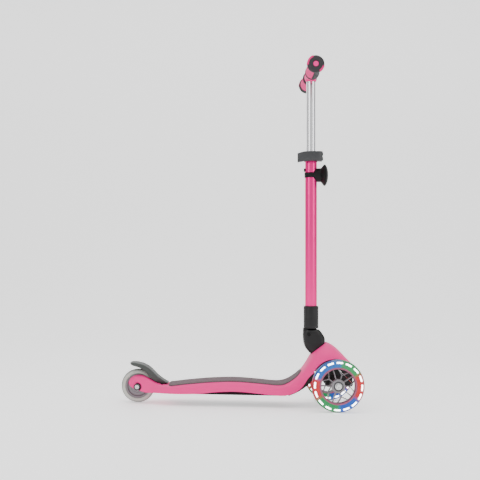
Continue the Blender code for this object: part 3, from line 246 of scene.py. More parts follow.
def mat_material():
    """Grey rubber with a close pattern of small pips, its colour darker in the hollows between them as painted
    shade.
    """
    material, tree, shader, place = base_material("mat_rubber")
    cells = tree.nodes.new("ShaderNodeTexVoronoi")
    cells.inputs["Scale"].default_value = 420.0
    tree.links.new(place, cells.inputs["Vector"])
    # painted shade: lighter at the pip tops, darker in the hollows between the pips
    pip_tone_with_shade = blend_colours(tree, cells.outputs["Distance"], (0.150, 0.104, 0.116), (0.078, 0.050, 0.058))
    tree.links.new(pip_tone_with_shade, shader.inputs["Base Color"])
    shader.inputs["Roughness"].default_value = 0.78
    shader.inputs["Specular IOR Level"].default_value = 0.20
    bump = tree.nodes.new("ShaderNodeBump")
    bump.invert = True
    bump.inputs["Strength"].default_value = 0.8
    bump.inputs["Distance"].default_value = 0.0003
    tree.links.new(cells.outputs["Distance"], bump.inputs["Height"])
    tree.links.new(bump.outputs["Normal"], shader.inputs["Normal"])
    return material


def wheel_centre(side):
    return Vector((FRONT_AXLE_X, FRONT_TRACK / 2.0 * side, FRONT_RADIUS))


FINISH = {
    "pink_plastic": finish("pink_plastic", PINK, 0.52, edge=0.0009, depth=0.000012, specular=0.22),
    "pink_anodised": finish("pink_anodised", (0.86, 0.022, 0.240), 0.30, 0.75, 500.0, 0.000006, 0.0,
                            stretch=(1.0, 1.0, 0.03), specular=0.3, tint=(0.55, 0.03, 0.16)),
    "silver_tube": finish("silver_tube", (0.80, 0.80, 0.82), 0.22, 1.0, 500.0, 0.000005, 0.0,
                          stretch=(1.0, 1.0, 0.03)),
    "black_plastic": finish("black_plastic", (0.0035, 0.0032, 0.0035), 0.44, edge=0.0009, specular=0.35),
    "dark_grey_plastic": finish("dark_grey_plastic", (0.026, 0.027, 0.029), 0.45, edge=0.0006),
    "brake_plastic": finish("brake_plastic", (0.036, 0.041, 0.037), 0.56, grain=1500.0, depth=0.00004),
    "grip_rubber": finish("grip_rubber", (0.016, 0.013, 0.016), 0.66, grain=1300.0, depth=0.00005),
    "pink_insert": finish("pink_insert", (0.70, 0.014, 0.175), 0.62, grain=1100.0, specular=0.12),
    "wheel_core": finish("wheel_core", (0.20, 0.185, 0.20), 0.38, 0.4, edge=0.0004),
    "bearing_seal": finish("bearing_seal", (0.075, 0.072, 0.078), 0.40, 0.3, edge=0.0003),
    "steel": finish("steel", (0.66, 0.66, 0.67), 0.26, 1.0, edge=0.0003),
    "bell_plastic": finish("bell_plastic", (0.003, 0.003, 0.003), 0.55, edge=0.0005, specular=0.20),
    "mat_rubber": mat_material(),
    "clear_tyre": clear_material("clear_tyre", REAR_AXLE, REAR_AXLE.z),
    "mauve_ring": finish("mauve_ring", (0.30, 0.085, 0.150), 0.34, 0.35),
    # painted shade: near-black finish for the sheet in the mat's seam and the washer in the bolt's recess,
    # standing for the shade there
    "dark_recess": finish("dark_recess", (0.020, 0.018, 0.022), 0.50),
}
# (name, rough, strength, whiten, body_tone, rim tone) of what glows in each front wheel; the rim tone is
# painted shade, darker than body_tone on the tyre.
LIT = [("lit_tyre", 0.36, 0.40, 0.0, 0.55, 0.26), ("light_strip", 0.40, 0.40, 0.0, 0.60, 0.60),
       ("led", 0.30, 7.0, 0.93, 1.0, 1.0)]
for word, side in SIDES:
    for kind, *values in LIT:
        FINISH[f"{kind}_{word}"] = lit_material(f"{kind}_{word}", wheel_centre(side), *values)


# ---------------------------------------------------------------- mesh helpers
def piece(name, bm, look, body, nodes=(), place=None, angle=38.0):
    """Finished object from a bmesh, riding on a CAD body and standing for CAD nodes."""
    bmesh.ops.recalc_face_normals(bm, faces=bm.faces)
    mesh = bpy.data.meshes.new(name)
    bm.to_mesh(mesh)
    bm.free()
    if place:
        mesh.transform(place)
    mesh.shade_smooth()
    mesh.set_sharp_from_angle(angle=math.radians(angle))
    mesh.materials.append(FINISH[look])
    obj = bpy.data.objects.new(name, mesh)
    bpy.context.scene.collection.objects.link(obj)
    if body:
        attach(obj, body)
        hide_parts(*nodes)
    return obj


def frame_at(origin, direction):
    """Matrix that carries local +Z onto direction, with its origin at origin."""
    turn = Vector((0.0, 0.0, 1.0)).rotation_difference(Vector(direction).normalized())
    return Matrix.Translation(Vector(origin)) @ turn.to_matrix().to_4x4()


def rounded(profile, size=0.0005, steps=3):
    """The same closed (radius, height) outline with its corners rounded."""
    result = []
    count = len(profile)
    for index in range(count):
        corner = Vector(profile[index])
        if corner.x < 1e-6:
            result.append(tuple(corner))
            continue
        before = Vector(profile[index - 1]) - corner
        after = Vector(profile[(index + 1) % count]) - corner
        if before.length < 1e-7 or after.length < 1e-7 or before.angle(after) > math.radians(165.0):
            result.append(tuple(corner))
            continue
        reach = min(size, before.length * 0.42, after.length * 0.42)
        first, last = corner + before.normalized() * reach, corner + after.normalized() * reach
        for step in range(steps + 1):
            part = step / steps
            spot = first * (1 - part) ** 2 + corner * 2 * part * (1 - part) + last * part ** 2
            result.append((max(spot.x, 0.0), spot.y))
    return result


def add_lathe(bm, profile, segments, place=None):
    """Turn a closed (radius, height) profile about local Z; radius 0 closes on the axis."""
    place = place or Matrix.Identity(4)
    rings = []
    for radius, height in profile:
        if radius < 1e-6:
            rings.append([bm.verts.new(place @ Vector((0.0, 0.0, height)))])
            continue
        rings.append([bm.verts.new(place @ Vector((radius * math.cos(2 * math.pi * step / segments),
                                                   radius * math.sin(2 * math.pi * step / segments), height)))
                      for step in range(segments)])
    pairs = list(zip(rings, rings[1:]))
    if len(rings[0]) > 1:
        pairs.append((rings[-1], rings[0]))
    for low, high in pairs:
        if len(low) == 1 and len(high) == 1:
            continue
        for step in range(segments):
            after = (step + 1) % segments
            if len(low) == 1:
                bm.faces.new((low[0], high[after], high[step]))
            elif len(high) == 1:
                bm.faces.new((low[step], low[after], high[0]))
            else:
                bm.faces.new((low[step], low[after], high[after], high[step]))


def turned(name, profile, look, body, nodes=(), origin=(0, 0, 0), direction=(0, 0, 1), segments=96,
           column=False, soften=0.0005, extra=()):
    """Turned piece; extra holds more (profile, origin, direction) solids that belong to it."""
    bm = bmesh.new()
    add_lathe(bm, rounded(profile, soften), segments, frame_at(origin, direction))
    for more, spot, way in extra:
        add_lathe(bm, rounded(more, soften), segments, frame_at(spot, way))
    return piece(name, bm, look, body, nodes, COLUMN if column else None)


def pipe(outer, inner, low, high):
    return [(inner, low), (outer, low), (outer, high), (inner, high)]


def disc(radius, low, high):
    return pipe(radius, 0, low, high)


def bearing_ring(low):
    """Outline of a sealed bearing: an inner and an outer race with the seal sunk between them."""
    high = low + BEARING_WIDTH
    return [(0.0040, low), (0.0062, low), (0.0064, low + BEARING_GROOVE), (0.0092, low + BEARING_GROOVE),
            (0.0094, low), (0.0110, low), (0.0110, high), (0.0094, high), (0.0092, high - BEARING_GROOVE),
            (0.0064, high - BEARING_GROOVE), (0.0062, high), (0.0040, high)]


def join_rings(bm, rings):
    """Walls between rings that have the same number of points."""
    for low, high in zip(rings, rings[1:]):
        for step in range(len(low)):
            after = (step + 1) % len(low)
            bm.faces.new((low[step], low[after], high[after], high[step]))


def close_ends(bm, rings):
    bm.faces.new(list(reversed(rings[0])))
    bm.faces.new(rings[-1])


def add_prism(bm, outline, low, high, place=None):
    """Extrude an (x, z) outline from y = low to y = high."""
    place = place or Matrix.Identity(4)
    near = [bm.verts.new(place @ Vector((x, low, z))) for x, z in outline]
    far = [bm.verts.new(place @ Vector((x, high, z))) for x, z in outline]
    bm.faces.new(near)
    bm.faces.new(list(reversed(far)))
    for step in range(len(outline)):
        after = (step + 1) % len(outline)
        bm.faces.new((near[after], near[step], far[step], far[after]))


def arc(centre, radius, start, end, steps):
    return [(centre[0] + radius * math.cos(math.radians(start + (end - start) * step / steps)),
             centre[1] + radius * math.sin(math.radians(start + (end - start) * step / steps)))
            for step in range(steps + 1)]


def bevel(obj, width, segments=3, angle=40.0):
    modifier = obj.modifiers.new("rounded_edges", "BEVEL")
    modifier.width = width
    modifier.segments = segments
    modifier.limit_method = "ANGLE"
    modifier.angle_limit = math.radians(angle)
    modifier.harden_normals = True


def smooth_again(obj, angle):
    """Smooth shading after cuts, with the edges sharper than angle kept."""
    obj.data.shade_smooth()
    obj.data.set_sharp_from_angle(angle=math.radians(angle))


def cut(obj, name, bm):
    """Cut a solid out of obj and drop the cutter."""
    bmesh.ops.recalc_face_normals(bm, faces=bm.faces)
    mesh = bpy.data.meshes.new(name)
    bm.to_mesh(mesh)
    bm.free()
    cutter = bpy.data.objects.new(name, mesh)
    bpy.context.scene.collection.objects.link(cutter)
    modifier = obj.modifiers.new(name, "BOOLEAN")
    modifier.operation = "DIFFERENCE"
    modifier.object = cutter
    bpy.context.view_layer.update()
    evaluated = obj.evaluated_get(bpy.context.evaluated_depsgraph_get())
    result = bpy.data.meshes.new_from_object(evaluated)
    obj.modifiers.clear()
    obj.data = result
    bpy.data.objects.remove(cutter)


def softened(node, look, body, width=0.0005):
    """Finer copy of a CAD node's shape: merged, with its flat faces whole and its edges rounded."""
    bm = bmesh.new()
    bm.from_mesh(frame["nodes"][node].data)
    bmesh.ops.remove_doubles(bm, verts=bm.verts, dist=0.00001)
    bmesh.ops.dissolve_limit(bm, angle_limit=math.radians(2.0), verts=bm.verts, edges=bm.edges)
    obj = piece(node + "_finished", bm, look, body, [node])
    bevel(obj, width, 2, 32.0)
    return obj


def smooth_line(points, at):
    """Height of a smooth curve through points (sorted by their first value)."""
    for index in range(len(points) - 1):
        if at <= points[index + 1][0] or index == len(points) - 2:
            break
    before, start, end = points[max(index - 1, 0)], points[index], points[index + 1]
    after = points[min(index + 2, len(points) - 1)]
    width = end[0] - start[0]
    part = min(max((at - start[0]) / width, 0.0), 1.0)
    slope_in = (end[1] - before[1]) / max(end[0] - before[0], 1e-9) * width
    slope_out = (after[1] - start[1]) / max(after[0] - start[0], 1e-9) * width
    square, cube = part * part, part * part * part
    return ((2 * cube - 3 * square + 1) * start[1] + (cube - 2 * square + part) * slope_in
            + (3 * square - 2 * cube) * end[1] + (cube - square) * slope_out)


# ---------------------------------------------------------------- deck
TOP_LINE = [(-0.264, 0.0520), (-0.259, 0.0603), (-0.250, 0.0658), (-0.240, 0.0674), (-0.228, 0.0660),
            (-0.212, 0.0577), (-0.198, 0.0500), (-0.180, 0.0462), (-0.160, 0.0472), (-0.120, 0.0525),
            (-0.070, 0.0575), (-0.012, 0.0600), (0.045, 0.0570), (0.085, 0.0540), (0.104, 0.0562),
            (0.116, 0.0612), (0.125, 0.0668), (0.134, 0.0738), (0.1435, 0.0840), (0.1547, 0.1000),
            (0.1686, 0.1250), (0.186, 0.1480),
            (0.203, 0.1530), (0.221, 0.1450), (0.236, 0.1322), (0.249, 0.1190), (0.258, 0.1100)]
BOTTOM_LINE = [(-0.264, 0.0480), (-0.259, 0.0400), (-0.240, 0.0322), (-0.221, 0.0272), (-0.200, 0.0275),
               (-0.130, 0.0280), (-0.095, 0.0298), (-0.055, 0.0342), (-0.012, 0.0362), (0.028, 0.0340),
               (0.080, 0.0292), (0.104, 0.0290), (0.120, 0.0326), (0.135, 0.0400), (0.147, 0.0510),
               (0.162, 0.0740), (0.180, 0.0880), (0.225, 0.0920), (0.258, 0.0980)]
WIDTH_LINE = [(-0.264, 0.0240), (-0.257, 0.0290), (-0.240, 0.0320), (-0.212, 0.0365), (-0.185, 0.0480),
              (-0.160, 0.0555), (-0.130, 0.0580), (0.085, 0.0580), (0.120, 0.0560), (0.150, 0.0520),
              (0.180, 0.0570), (0.215, 0.0600), (0.245, 0.0520), (0.258, 0.0430)]
SQUARENESS_LINE = [(-0.264, 4.0), (-0.200, 5.0), (-0.150, 4.8), (0.095, 4.8), (0.135, 4.2),
                   (0.165, 2.7), (0.205, 2.3), (0.258, 2.4)]
HALF_RING = 22
SADDLE_ALONG = (Vector((0.2050, 0.0, 0.1545)) - Vector((0.1640, 0.0, 0.1226))).normalized()
SADDLE_UP = Vector((-SADDLE_ALONG.z, 0.0, SADDLE_ALONG.x))
SADDLE_MIDDLE = Vector((0.18485, 0.0, 0.1388))


def cross_section(x, inset=0.0, drop=0.0):
    top = smooth_line(TOP_LINE, x) - inset
    bottom = smooth_line(BOTTOM_LINE, x) - drop
    half = smooth_line(WIDTH_LINE, x) - inset
    power = 2.0 / smooth_line(SQUARENESS_LINE, x)
    ring = []
    for step in range(HALF_RING * 2 + 1):
        turn = math.pi * step / (HALF_RING * 2)
        side, rise = math.cos(turn), math.sin(turn)
        ring.append((half * math.copysign(abs(side) ** power, side),
                     bottom + (top - bottom) * abs(rise) ** power))
    return ring


def stations(start, end, count):
    return [start + (end - start) * step / (count - 1) for step in range(count)]


def loft(places, section):
    bm = bmesh.new()
    rings = [[bm.verts.new((x, y, z)) for y, z in section(x)] for x in places]
    join_rings(bm, rings)
    close_ends(bm, rings)
    return bm


def saddle_point(along, up):
    spot = SADDLE_MIDDLE + SADDLE_ALONG * along + SADDLE_UP * up
    return (spot.x, spot.z)


def turned_cutter(profile, origin, direction, segments):
    bm = bmesh.new()
    add_lathe(bm, profile, segments, frame_at(origin, direction))
    return bm


def prism_cutter(outline, low, high):
    bm = bmesh.new()
    add_prism(bm, outline, low, high)
    return bm


def nose_bay(x):
    ceiling = SADDLE_MIDDLE.z + (x - SADDLE_MIDDLE.x) * SADDLE_ALONG.z / SADDLE_ALONG.x - 0.0115
    return [(y, min(z, ceiling)) for y, z in cross_section(min(x, 0.2579), 0.0045, 0.05)]


def make_deck():
    deck = piece("deck_moulding", loft(stations(-0.264, 0.258, 125), cross_section), "pink_plastic",
                 "chassis", ["deck_shell"], angle=30.0)
    across = (0, 1, 0)
    front = (FRONT_AXLE_X, 0.0, FRONT_RADIUS)
    cutters = [
        ("wheel_well", turned_cutter(disc(0.0445, -0.0152, 0.0152), REAR_AXLE, across, 96)),
        ("axle_hole", turned_cutter(disc(0.0043, -0.06, 0.06), REAR_AXLE, across, 32)),
        ("bolt_recess", turned_cutter([(0, 0.0310), (0.0102, 0.0310), (0.0112, 0.0460), (0, 0.0460)],
                                      REAR_AXLE, (0, -1, 0), 48)),
        ("brake_pocket", prism_cutter([(-0.2010, 0.0380), (-0.1780, 0.0380), (-0.1740, 0.0600),
                                       (-0.2010, 0.0600)], -0.0198, 0.0198)),
        ("hollow", loft(stations(-0.166, 0.128, 48), lambda x: cross_section(x, 0.0040, 0.03))),
        ("nose_bay", loft(stations(0.1645, 0.270, 30), nose_bay)),
        ("saddle", prism_cutter([saddle_point(-0.040, 0.0), saddle_point(0.026, 0.0),
                                 saddle_point(0.026, 0.04), saddle_point(-0.040, 0.04)], -0.08, 0.08)),
        ("wheel_arch", turned_cutter(disc(0.0565, -0.12, 0.12), front, across, 128)),
    ]
    for name, bm in cutters:
        cut(deck, name, bm)
    smooth_again(deck, 32.0)


def deck_top(x, y):
    top, bottom = smooth_line(TOP_LINE, x), smooth_line(BOTTOM_LINE, x)
    square = smooth_line(SQUARENESS_LINE, x)
    side = min(abs(y) / smooth_line(WIDTH_LINE, x), 1.0)
    return bottom + (top - bottom) * (1.0 - side ** square) ** (1.0 / square)


def mat_sheet(name, look, low_gap, thick, shrink, nodes=()):
    """Sheet that follows the deck's top, with rounded corners and edges."""
    bm = bmesh.new()
    along = stations(-0.1680 + shrink, 0.1437 - shrink, 114)
    count = 28
    under, over = [], []
    for x in along:
        from_end = min(x - along[0], along[-1] - x)
        half = 0.0465 - shrink - 0.010 * max(0.0, 1.0 - from_end / 0.010) ** 2
        half -= 0.012 * max(0.0, (x - 0.100) / 0.034)
        low, high = [], []
        for step in range(count + 1):
            part = math.sin(math.pi * (step / count - 0.5))
            y = half * part
            ground = deck_top(x, y) + low_gap
            inside = min(half - abs(y), from_end)
            crown = math.sqrt(max(0.0, 1.0 - max(0.0, 1.0 - inside / 0.0020) ** 2))
            low.append(bm.verts.new((x, y, ground)))
            high.append(bm.verts.new((x, y, ground + thick * (0.30 + 0.70 * crown))))
        under.append(low)
        over.append(high)
    for side in (under, over):
        for i in range(len(along) - 1):
            for j in range(count):
                bm.faces.new((side[i][j], side[i + 1][j], side[i + 1][j + 1], side[i][j + 1]))
    for i in range(len(along) - 1):
        for j in (0, count):
            bm.faces.new((under[i][j], under[i + 1][j], over[i + 1][j], over[i][j]))
    for j in range(count):
        for i in (0, len(along) - 1):
            bm.faces.new((under[i][j], under[i][j + 1], over[i][j + 1], over[i][j]))
    return piece(name, bm, look, "chassis", nodes, angle=50.0)


make_deck()
mat_sheet("standing_mat", "mat_rubber", 0.0006, 0.0015, 0.0, ["deck_mat"])
# painted shadow: a near-black sheet a little wider than the mat, standing for the shade in the seam around it
mat_sheet("painted_seam_shadow", "dark_recess", 0.0001, 0.0007, -0.0009)
softened("floor_plate", "black_plastic", "chassis", 0.0005)
softened("nose_liner", "black_plastic", "chassis", 0.0006)
for word, x in (("rear", -0.150), ("front", 0.085)):
    turned(f"floor_screw_{word}_head", [(0, 0.0003), (0.0036, 0.0003), (0.0036, 0.0012), (0.0030, 0.0018),
                                        (0.0014, 0.0018), (0.0012, 0.0008), (0, 0.0008)], "steel", "chassis",
           [f"floor_screw_{word}"], (x, 0.0, 0.0277), (0, 0, -1), 32, soften=0.0002)


# ---------------------------------------------------------------- front wheels
def spoke(bm, centre, start, end, width, low, high):
    """Rounded bar between two (radius, angle) points of a wheel, from y = low to y = high."""
    a = Vector((centre.x + start[0] * math.cos(start[1]), centre.z + start[0] * math.sin(start[1])))
    b = Vector((centre.x + end[0] * math.cos(end[1]), centre.z + end[0] * math.sin(end[1])))
    side = Vector((-(b - a).y, (b - a).x)).normalized() * width / 2.0
    trim = min(width * 0.28, 0.0006)
    rings = []
    for level, share in ((low, 0.55), (low + trim, 1.0), (high - trim, 1.0), (high, 0.55)):
        rings.append([bm.verts.new((p.x, level, p.y)) for p in (a - side * share, a + side * share,
                                                                 b + side * share, b - side * share)])
    join_rings(bm, rings)
    bm.faces.new(rings[0])
    bm.faces.new(list(reversed(rings[-1])))


def make_front_wheel(word, side):
    centre, outward = wheel_centre(side), (0, side, 0)
    body = f"front_wheel_{word}"
    tyre = [(0.0470, -0.0120), (0.0540, -0.0120), (0.0570, -0.0104), (0.0592, -0.0074), (0.0602, -0.0038),
            (FRONT_RADIUS, 0.0), (0.0602, 0.0038), (0.0592, 0.0074), (0.0570, 0.0104), (0.0540, 0.0120),
            (0.0470, 0.0120), (0.0470, 0.0088), (0.0515, 0.0088), (0.0515, -0.0088), (0.0470, -0.0088)]
    turned(f"tyre_{word}", tyre, f"lit_tyre_{word}", body, [f"front_tyre_{word}"], centre, outward, 144,
           soften=0.0009)
    turned(f"light_band_{word}", pipe(0.0506, 0.0473, -0.0085, 0.0085), f"light_strip_{word}", body,
           [f"light_strip_{word}"], centre, outward, 144)
    bm = bmesh.new()
    for step in range(LED_COUNT):
        middle = math.radians(LED_FIRST - step * 360.0 / LED_COUNT)
        ring = []
        for way in (-1, 1):
            for part in (-1.0, -0.88, 0.0, 0.88, 1.0)[::-way]:
                turn = middle + LED_HALF_TURN * part
                reach = LED_RING + way * (0.0018 if abs(part) < 1.0 else 0.0008)
                ring.append((centre.x + reach * math.cos(turn), centre.z + reach * math.sin(turn)))
        add_prism(bm, ring, centre.y - LED_REACH, centre.y + LED_REACH)
    piece(f"lights_{word}", bm, f"led_{word}", body)

    rim = [(0.0392, -0.0106), (0.0400, -0.0114), (0.0424, -0.0114), (0.0430, -0.0108), (0.0430, 0.0108),
           (0.0424, 0.0114), (0.0400, 0.0114), (0.0392, 0.0106), (0.0386, 0.0080), (0.0386, -0.0080)]
    band = [(0.0430, -0.0106), (0.0467, -0.0112), (0.0467, 0.0112), (0.0430, 0.0106)]
    turned(f"rim_band_{word}", band, f"light_strip_{word}", body, (), centre, outward, 144)
    turned(f"rim_{word}", rim, "mauve_ring", body, [f"front_core_{word}"], centre, outward, 144)
    bm = bmesh.new()
    low, high = centre.y - SPOKE_HALF_WIDTH, centre.y + SPOKE_HALF_WIDTH
    for step in range(SPOKE_COUNT):
        straight = math.radians(108.0 - 360.0 / SPOKE_COUNT * step)
        spoke(bm, centre, (0.0145, straight), (0.0392, straight), 0.0022, low, high)
        forked = straight - math.radians(180.0 / SPOKE_COUNT)
        spoke(bm, centre, (0.0145, forked), (0.0268, forked), 0.0024, low, high)
        for way in (-1, 1):
            tip = (0.0392, forked + way * math.radians(19.0))
            spoke(bm, centre, (0.0262, forked), tip, 0.0020, low, high)
    piece(f"spokes_{word}", bm, "wheel_core", body)
    hub = [(0.0111, -0.0118), (0.0140, -0.0118), (0.0156, -0.0108), (0.0158, 0.0), (0.0156, 0.0108),
           (0.0140, 0.0118), (0.0111, 0.0118), (0.0111, 0.0036), (0.0062, 0.0035), (0.0062, -0.0035),
           (0.0111, -0.0036)]
    turned(f"hub_{word}", hub, "wheel_core", body, (), centre, outward, 72)
    for place, inner_end in (("outer", 0.0038), ("inner", -0.0108)):
        turned(f"bearing_{place}_{word}", bearing_ring(inner_end), "bearing_seal", body,
               [f"front_bearing_{place}_{word}"], centre, outward, 64, soften=0.0002)
    bolt = [(0, -0.0420), (0.0037, -0.0420), (0.0037, 0.0112), (0.0076, 0.0112), (0.0078, 0.0126),
            (0.0062, 0.0130), (0.0056, 0.0150), (0.0046, 0.0154), (0.0028, 0.0154), (0.0026, 0.0134),
            (0, 0.0134)]
    turned(f"axle_bolt_{word}", bolt, "steel", "steering_truck", [f"front_axle_bolt_{word}"], centre,
           outward, 48, soften=0.0003)


for side_word, side_sign in SIDES:
    make_front_wheel(side_word, side_sign)
for node in ("truck_carrier", "pivot_housing"):
    softened(node, "black_plastic", "steering_truck" if node == "truck_carrier" else "chassis", 0.0008)


# ---------------------------------------------------------------- rear wheel and brake
def make_rear_wheel():
    across = (0, -1, 0)
    tyre = [(0.0290, -0.0110), (0.0335, -0.0110), (0.0362, -0.0098), (0.0384, -0.0072), (0.0396, -0.0036),
            (0.0400, 0.0), (0.0396, 0.0036), (0.0384, 0.0072), (0.0362, 0.0098), (0.0335, 0.0110),
            (0.0290, 0.0110)]
    turned("rear_tyre_cast", tyre, "clear_tyre", "rear_wheel", ["rear_tyre"], REAR_AXLE, across, 128,
           soften=0.0008)
    core = [(0.0113, -0.0102), (0.0150, -0.0102), (0.0165, -0.0060), (0.0235, -0.0060), (0.0250, -0.0098),
            (0.0287, -0.0098), (0.0287, 0.0098), (0.0250, 0.0098), (0.0235, 0.0060), (0.0165, 0.0060),
            (0.0150, 0.0102), (0.0113, 0.0102), (0.0113, 0.0032), (0.0062, 0.0032), (0.0062, -0.0032),
            (0.0113, -0.0032)]
    turned("rear_core_moulding", core, "wheel_core", "rear_wheel", ["rear_core"], REAR_AXLE, across, 96)
    for word, low in (("right", 0.0035), ("left", -0.0105)):
        turned(f"rear_bearing_ring_{word}", bearing_ring(low), "steel", "rear_wheel",
               [f"rear_bearing_{word}"], REAR_AXLE, across, 64, soften=0.0002)
    # a washer, kept near-black as painted shade in the bolt's recess
    turned("rear_axle_washer", pipe(0.0078, 0.0048, 0.0324, 0.0338), "dark_recess", "chassis", (), REAR_AXLE,
           across, 64, soften=0.0003)
    bolt = [(0, -0.0390), (0.0038, -0.0390), (0.0038, 0.0325), (0.0050, 0.0325), (0.0053, 0.0340),
            (0.0048, 0.0354), (0.0040, 0.0358), (0.0024, 0.0358), (0.0023, 0.0344), (0, 0.0344)]
    turned("rear_axle_screw", bolt, "steel", "chassis", ["rear_axle_bolt"], REAR_AXLE, across, 48,
           soften=0.0003)


BRAKE_TOP = [(-0.2616, 0.0957), (-0.2497, 0.0958), (-0.2353, 0.0932), (-0.2256, 0.0894), (-0.2159, 0.0836),
             (-0.2062, 0.0750), (-0.1964, 0.0656), (-0.1867, 0.0585), (-0.1770, 0.0528), (-0.1706, 0.0500)]
BRAKE_UNDER = [(-0.2600, 0.0908), (-0.2524, 0.0882), (-0.2428, 0.0856), (-0.2357, 0.0826), (-0.2261, 0.0768),
               (-0.2188, 0.0686), (-0.2090, 0.0585), (-0.1994, 0.0520), (-0.1898, 0.0490), (-0.1790, 0.0482)]


def make_brake():
    """Foot brake: an arched flap with stepped ribs towards its root."""
    bm = bmesh.new()
    count, wide = 96, 24
    rings = []
    for step in range(count + 1):
        part = step / count
        top_x = BRAKE_TOP[0][0] + (BRAKE_TOP[-1][0] - BRAKE_TOP[0][0]) * part
        under_x = BRAKE_UNDER[0][0] + (BRAKE_UNDER[-1][0] - BRAKE_UNDER[0][0]) * part
        top, under = smooth_line(BRAKE_TOP, top_x), smooth_line(BRAKE_UNDER, under_x)
        half = 0.0270 - 0.0065 * max(0.0, (part - 0.45) / 0.55) - 0.006 * max(0.0, 1.0 - part / 0.08) ** 2
        rib = 0.0007 * (math.sin(part * 62.0) > 0.25) * (0.30 < part < 0.94)
        ring = []
        for place in range(wide + 1):
            across = math.sin(math.pi * (place / wide - 0.5))
            inside = half * (1.0 - abs(across))
            round_off = 0.0019 * max(0.0, 1.0 - inside / 0.0022) ** 2
            ring.append(bm.verts.new((top_x, half * across, top - round_off - rib * (inside > 0.0035))))
        for place in reversed(range(wide + 1)):
            across = math.sin(math.pi * (place / wide - 0.5))
            inside = half * (1.0 - abs(across))
            round_off = 0.0012 * max(0.0, 1.0 - inside / 0.0016) ** 2
            ring.append(bm.verts.new((under_x, half * across, under + round_off)))
        rings.append(ring)
    join_rings(bm, rings)
    close_ends(bm, rings)
    brake = piece("brake_flap", bm, "brake_plastic", "brake", ["rear_brake"], angle=34.0)
    cut(brake, "over_tyre", turned_cutter(disc(0.0432, -0.0126, 0.0126), REAR_AXLE, (0, 1, 0), 96))
    turned("brake_barrel", pipe(0.0052, 0.0023, -0.0190, 0.0125), "brake_plastic", "brake", (), BRAKE_PIVOT,
           (0, 1, 0), 48)


make_rear_wheel()
make_brake()


# ---------------------------------------------------------------- folding joint
FOLD_PIVOT = (0.1610, 0.1710)
PARTING = 0.1842
PIVOT_ON_COLUMN = (-0.006527, 0.171168)


def pillow(outline, half, radius, steps):
    """Solid of an (x, z) outline whose edges towards both sides are rounded by a large radius."""
    count = len(outline)
    inward = []
    for index in range(count):
        here = Vector(outline[index])
        along = (Vector(outline[(index + 1) % count]) - here).normalized()
        back = (here - Vector(outline[index - 1])).normalized()
        normals = Vector((along.y, -along.x)), Vector((back.y, -back.x))
        middle = (normals[0] + normals[1]).normalized()
        inward.append(middle / max(middle.dot(normals[0]), 0.5))
    area = sum(outline[i - 1][0] * outline[i][1] - outline[i][0] * outline[i - 1][1] for i in range(count))
    way = 1.0 if area < 0 else -1.0
    bm = bmesh.new()
    rings = []
    for side in (-1, 1):
        turns = range(steps + 1) if side < 0 else reversed(range(steps + 1))
        for step in turns:
            turn = math.pi / 2.0 * (1.0 - step / steps)
            inset = radius * (1.0 - math.cos(turn))
            y = side * (half - radius + radius * math.sin(turn))
            rings.append([bm.verts.new((x + inward[i].x * inset * way, y, z + inward[i].y * inset * way))
                          for i, (x, z) in enumerate(outline)])
    join_rings(bm, rings)
    close_ends(bm, rings)
    return bm


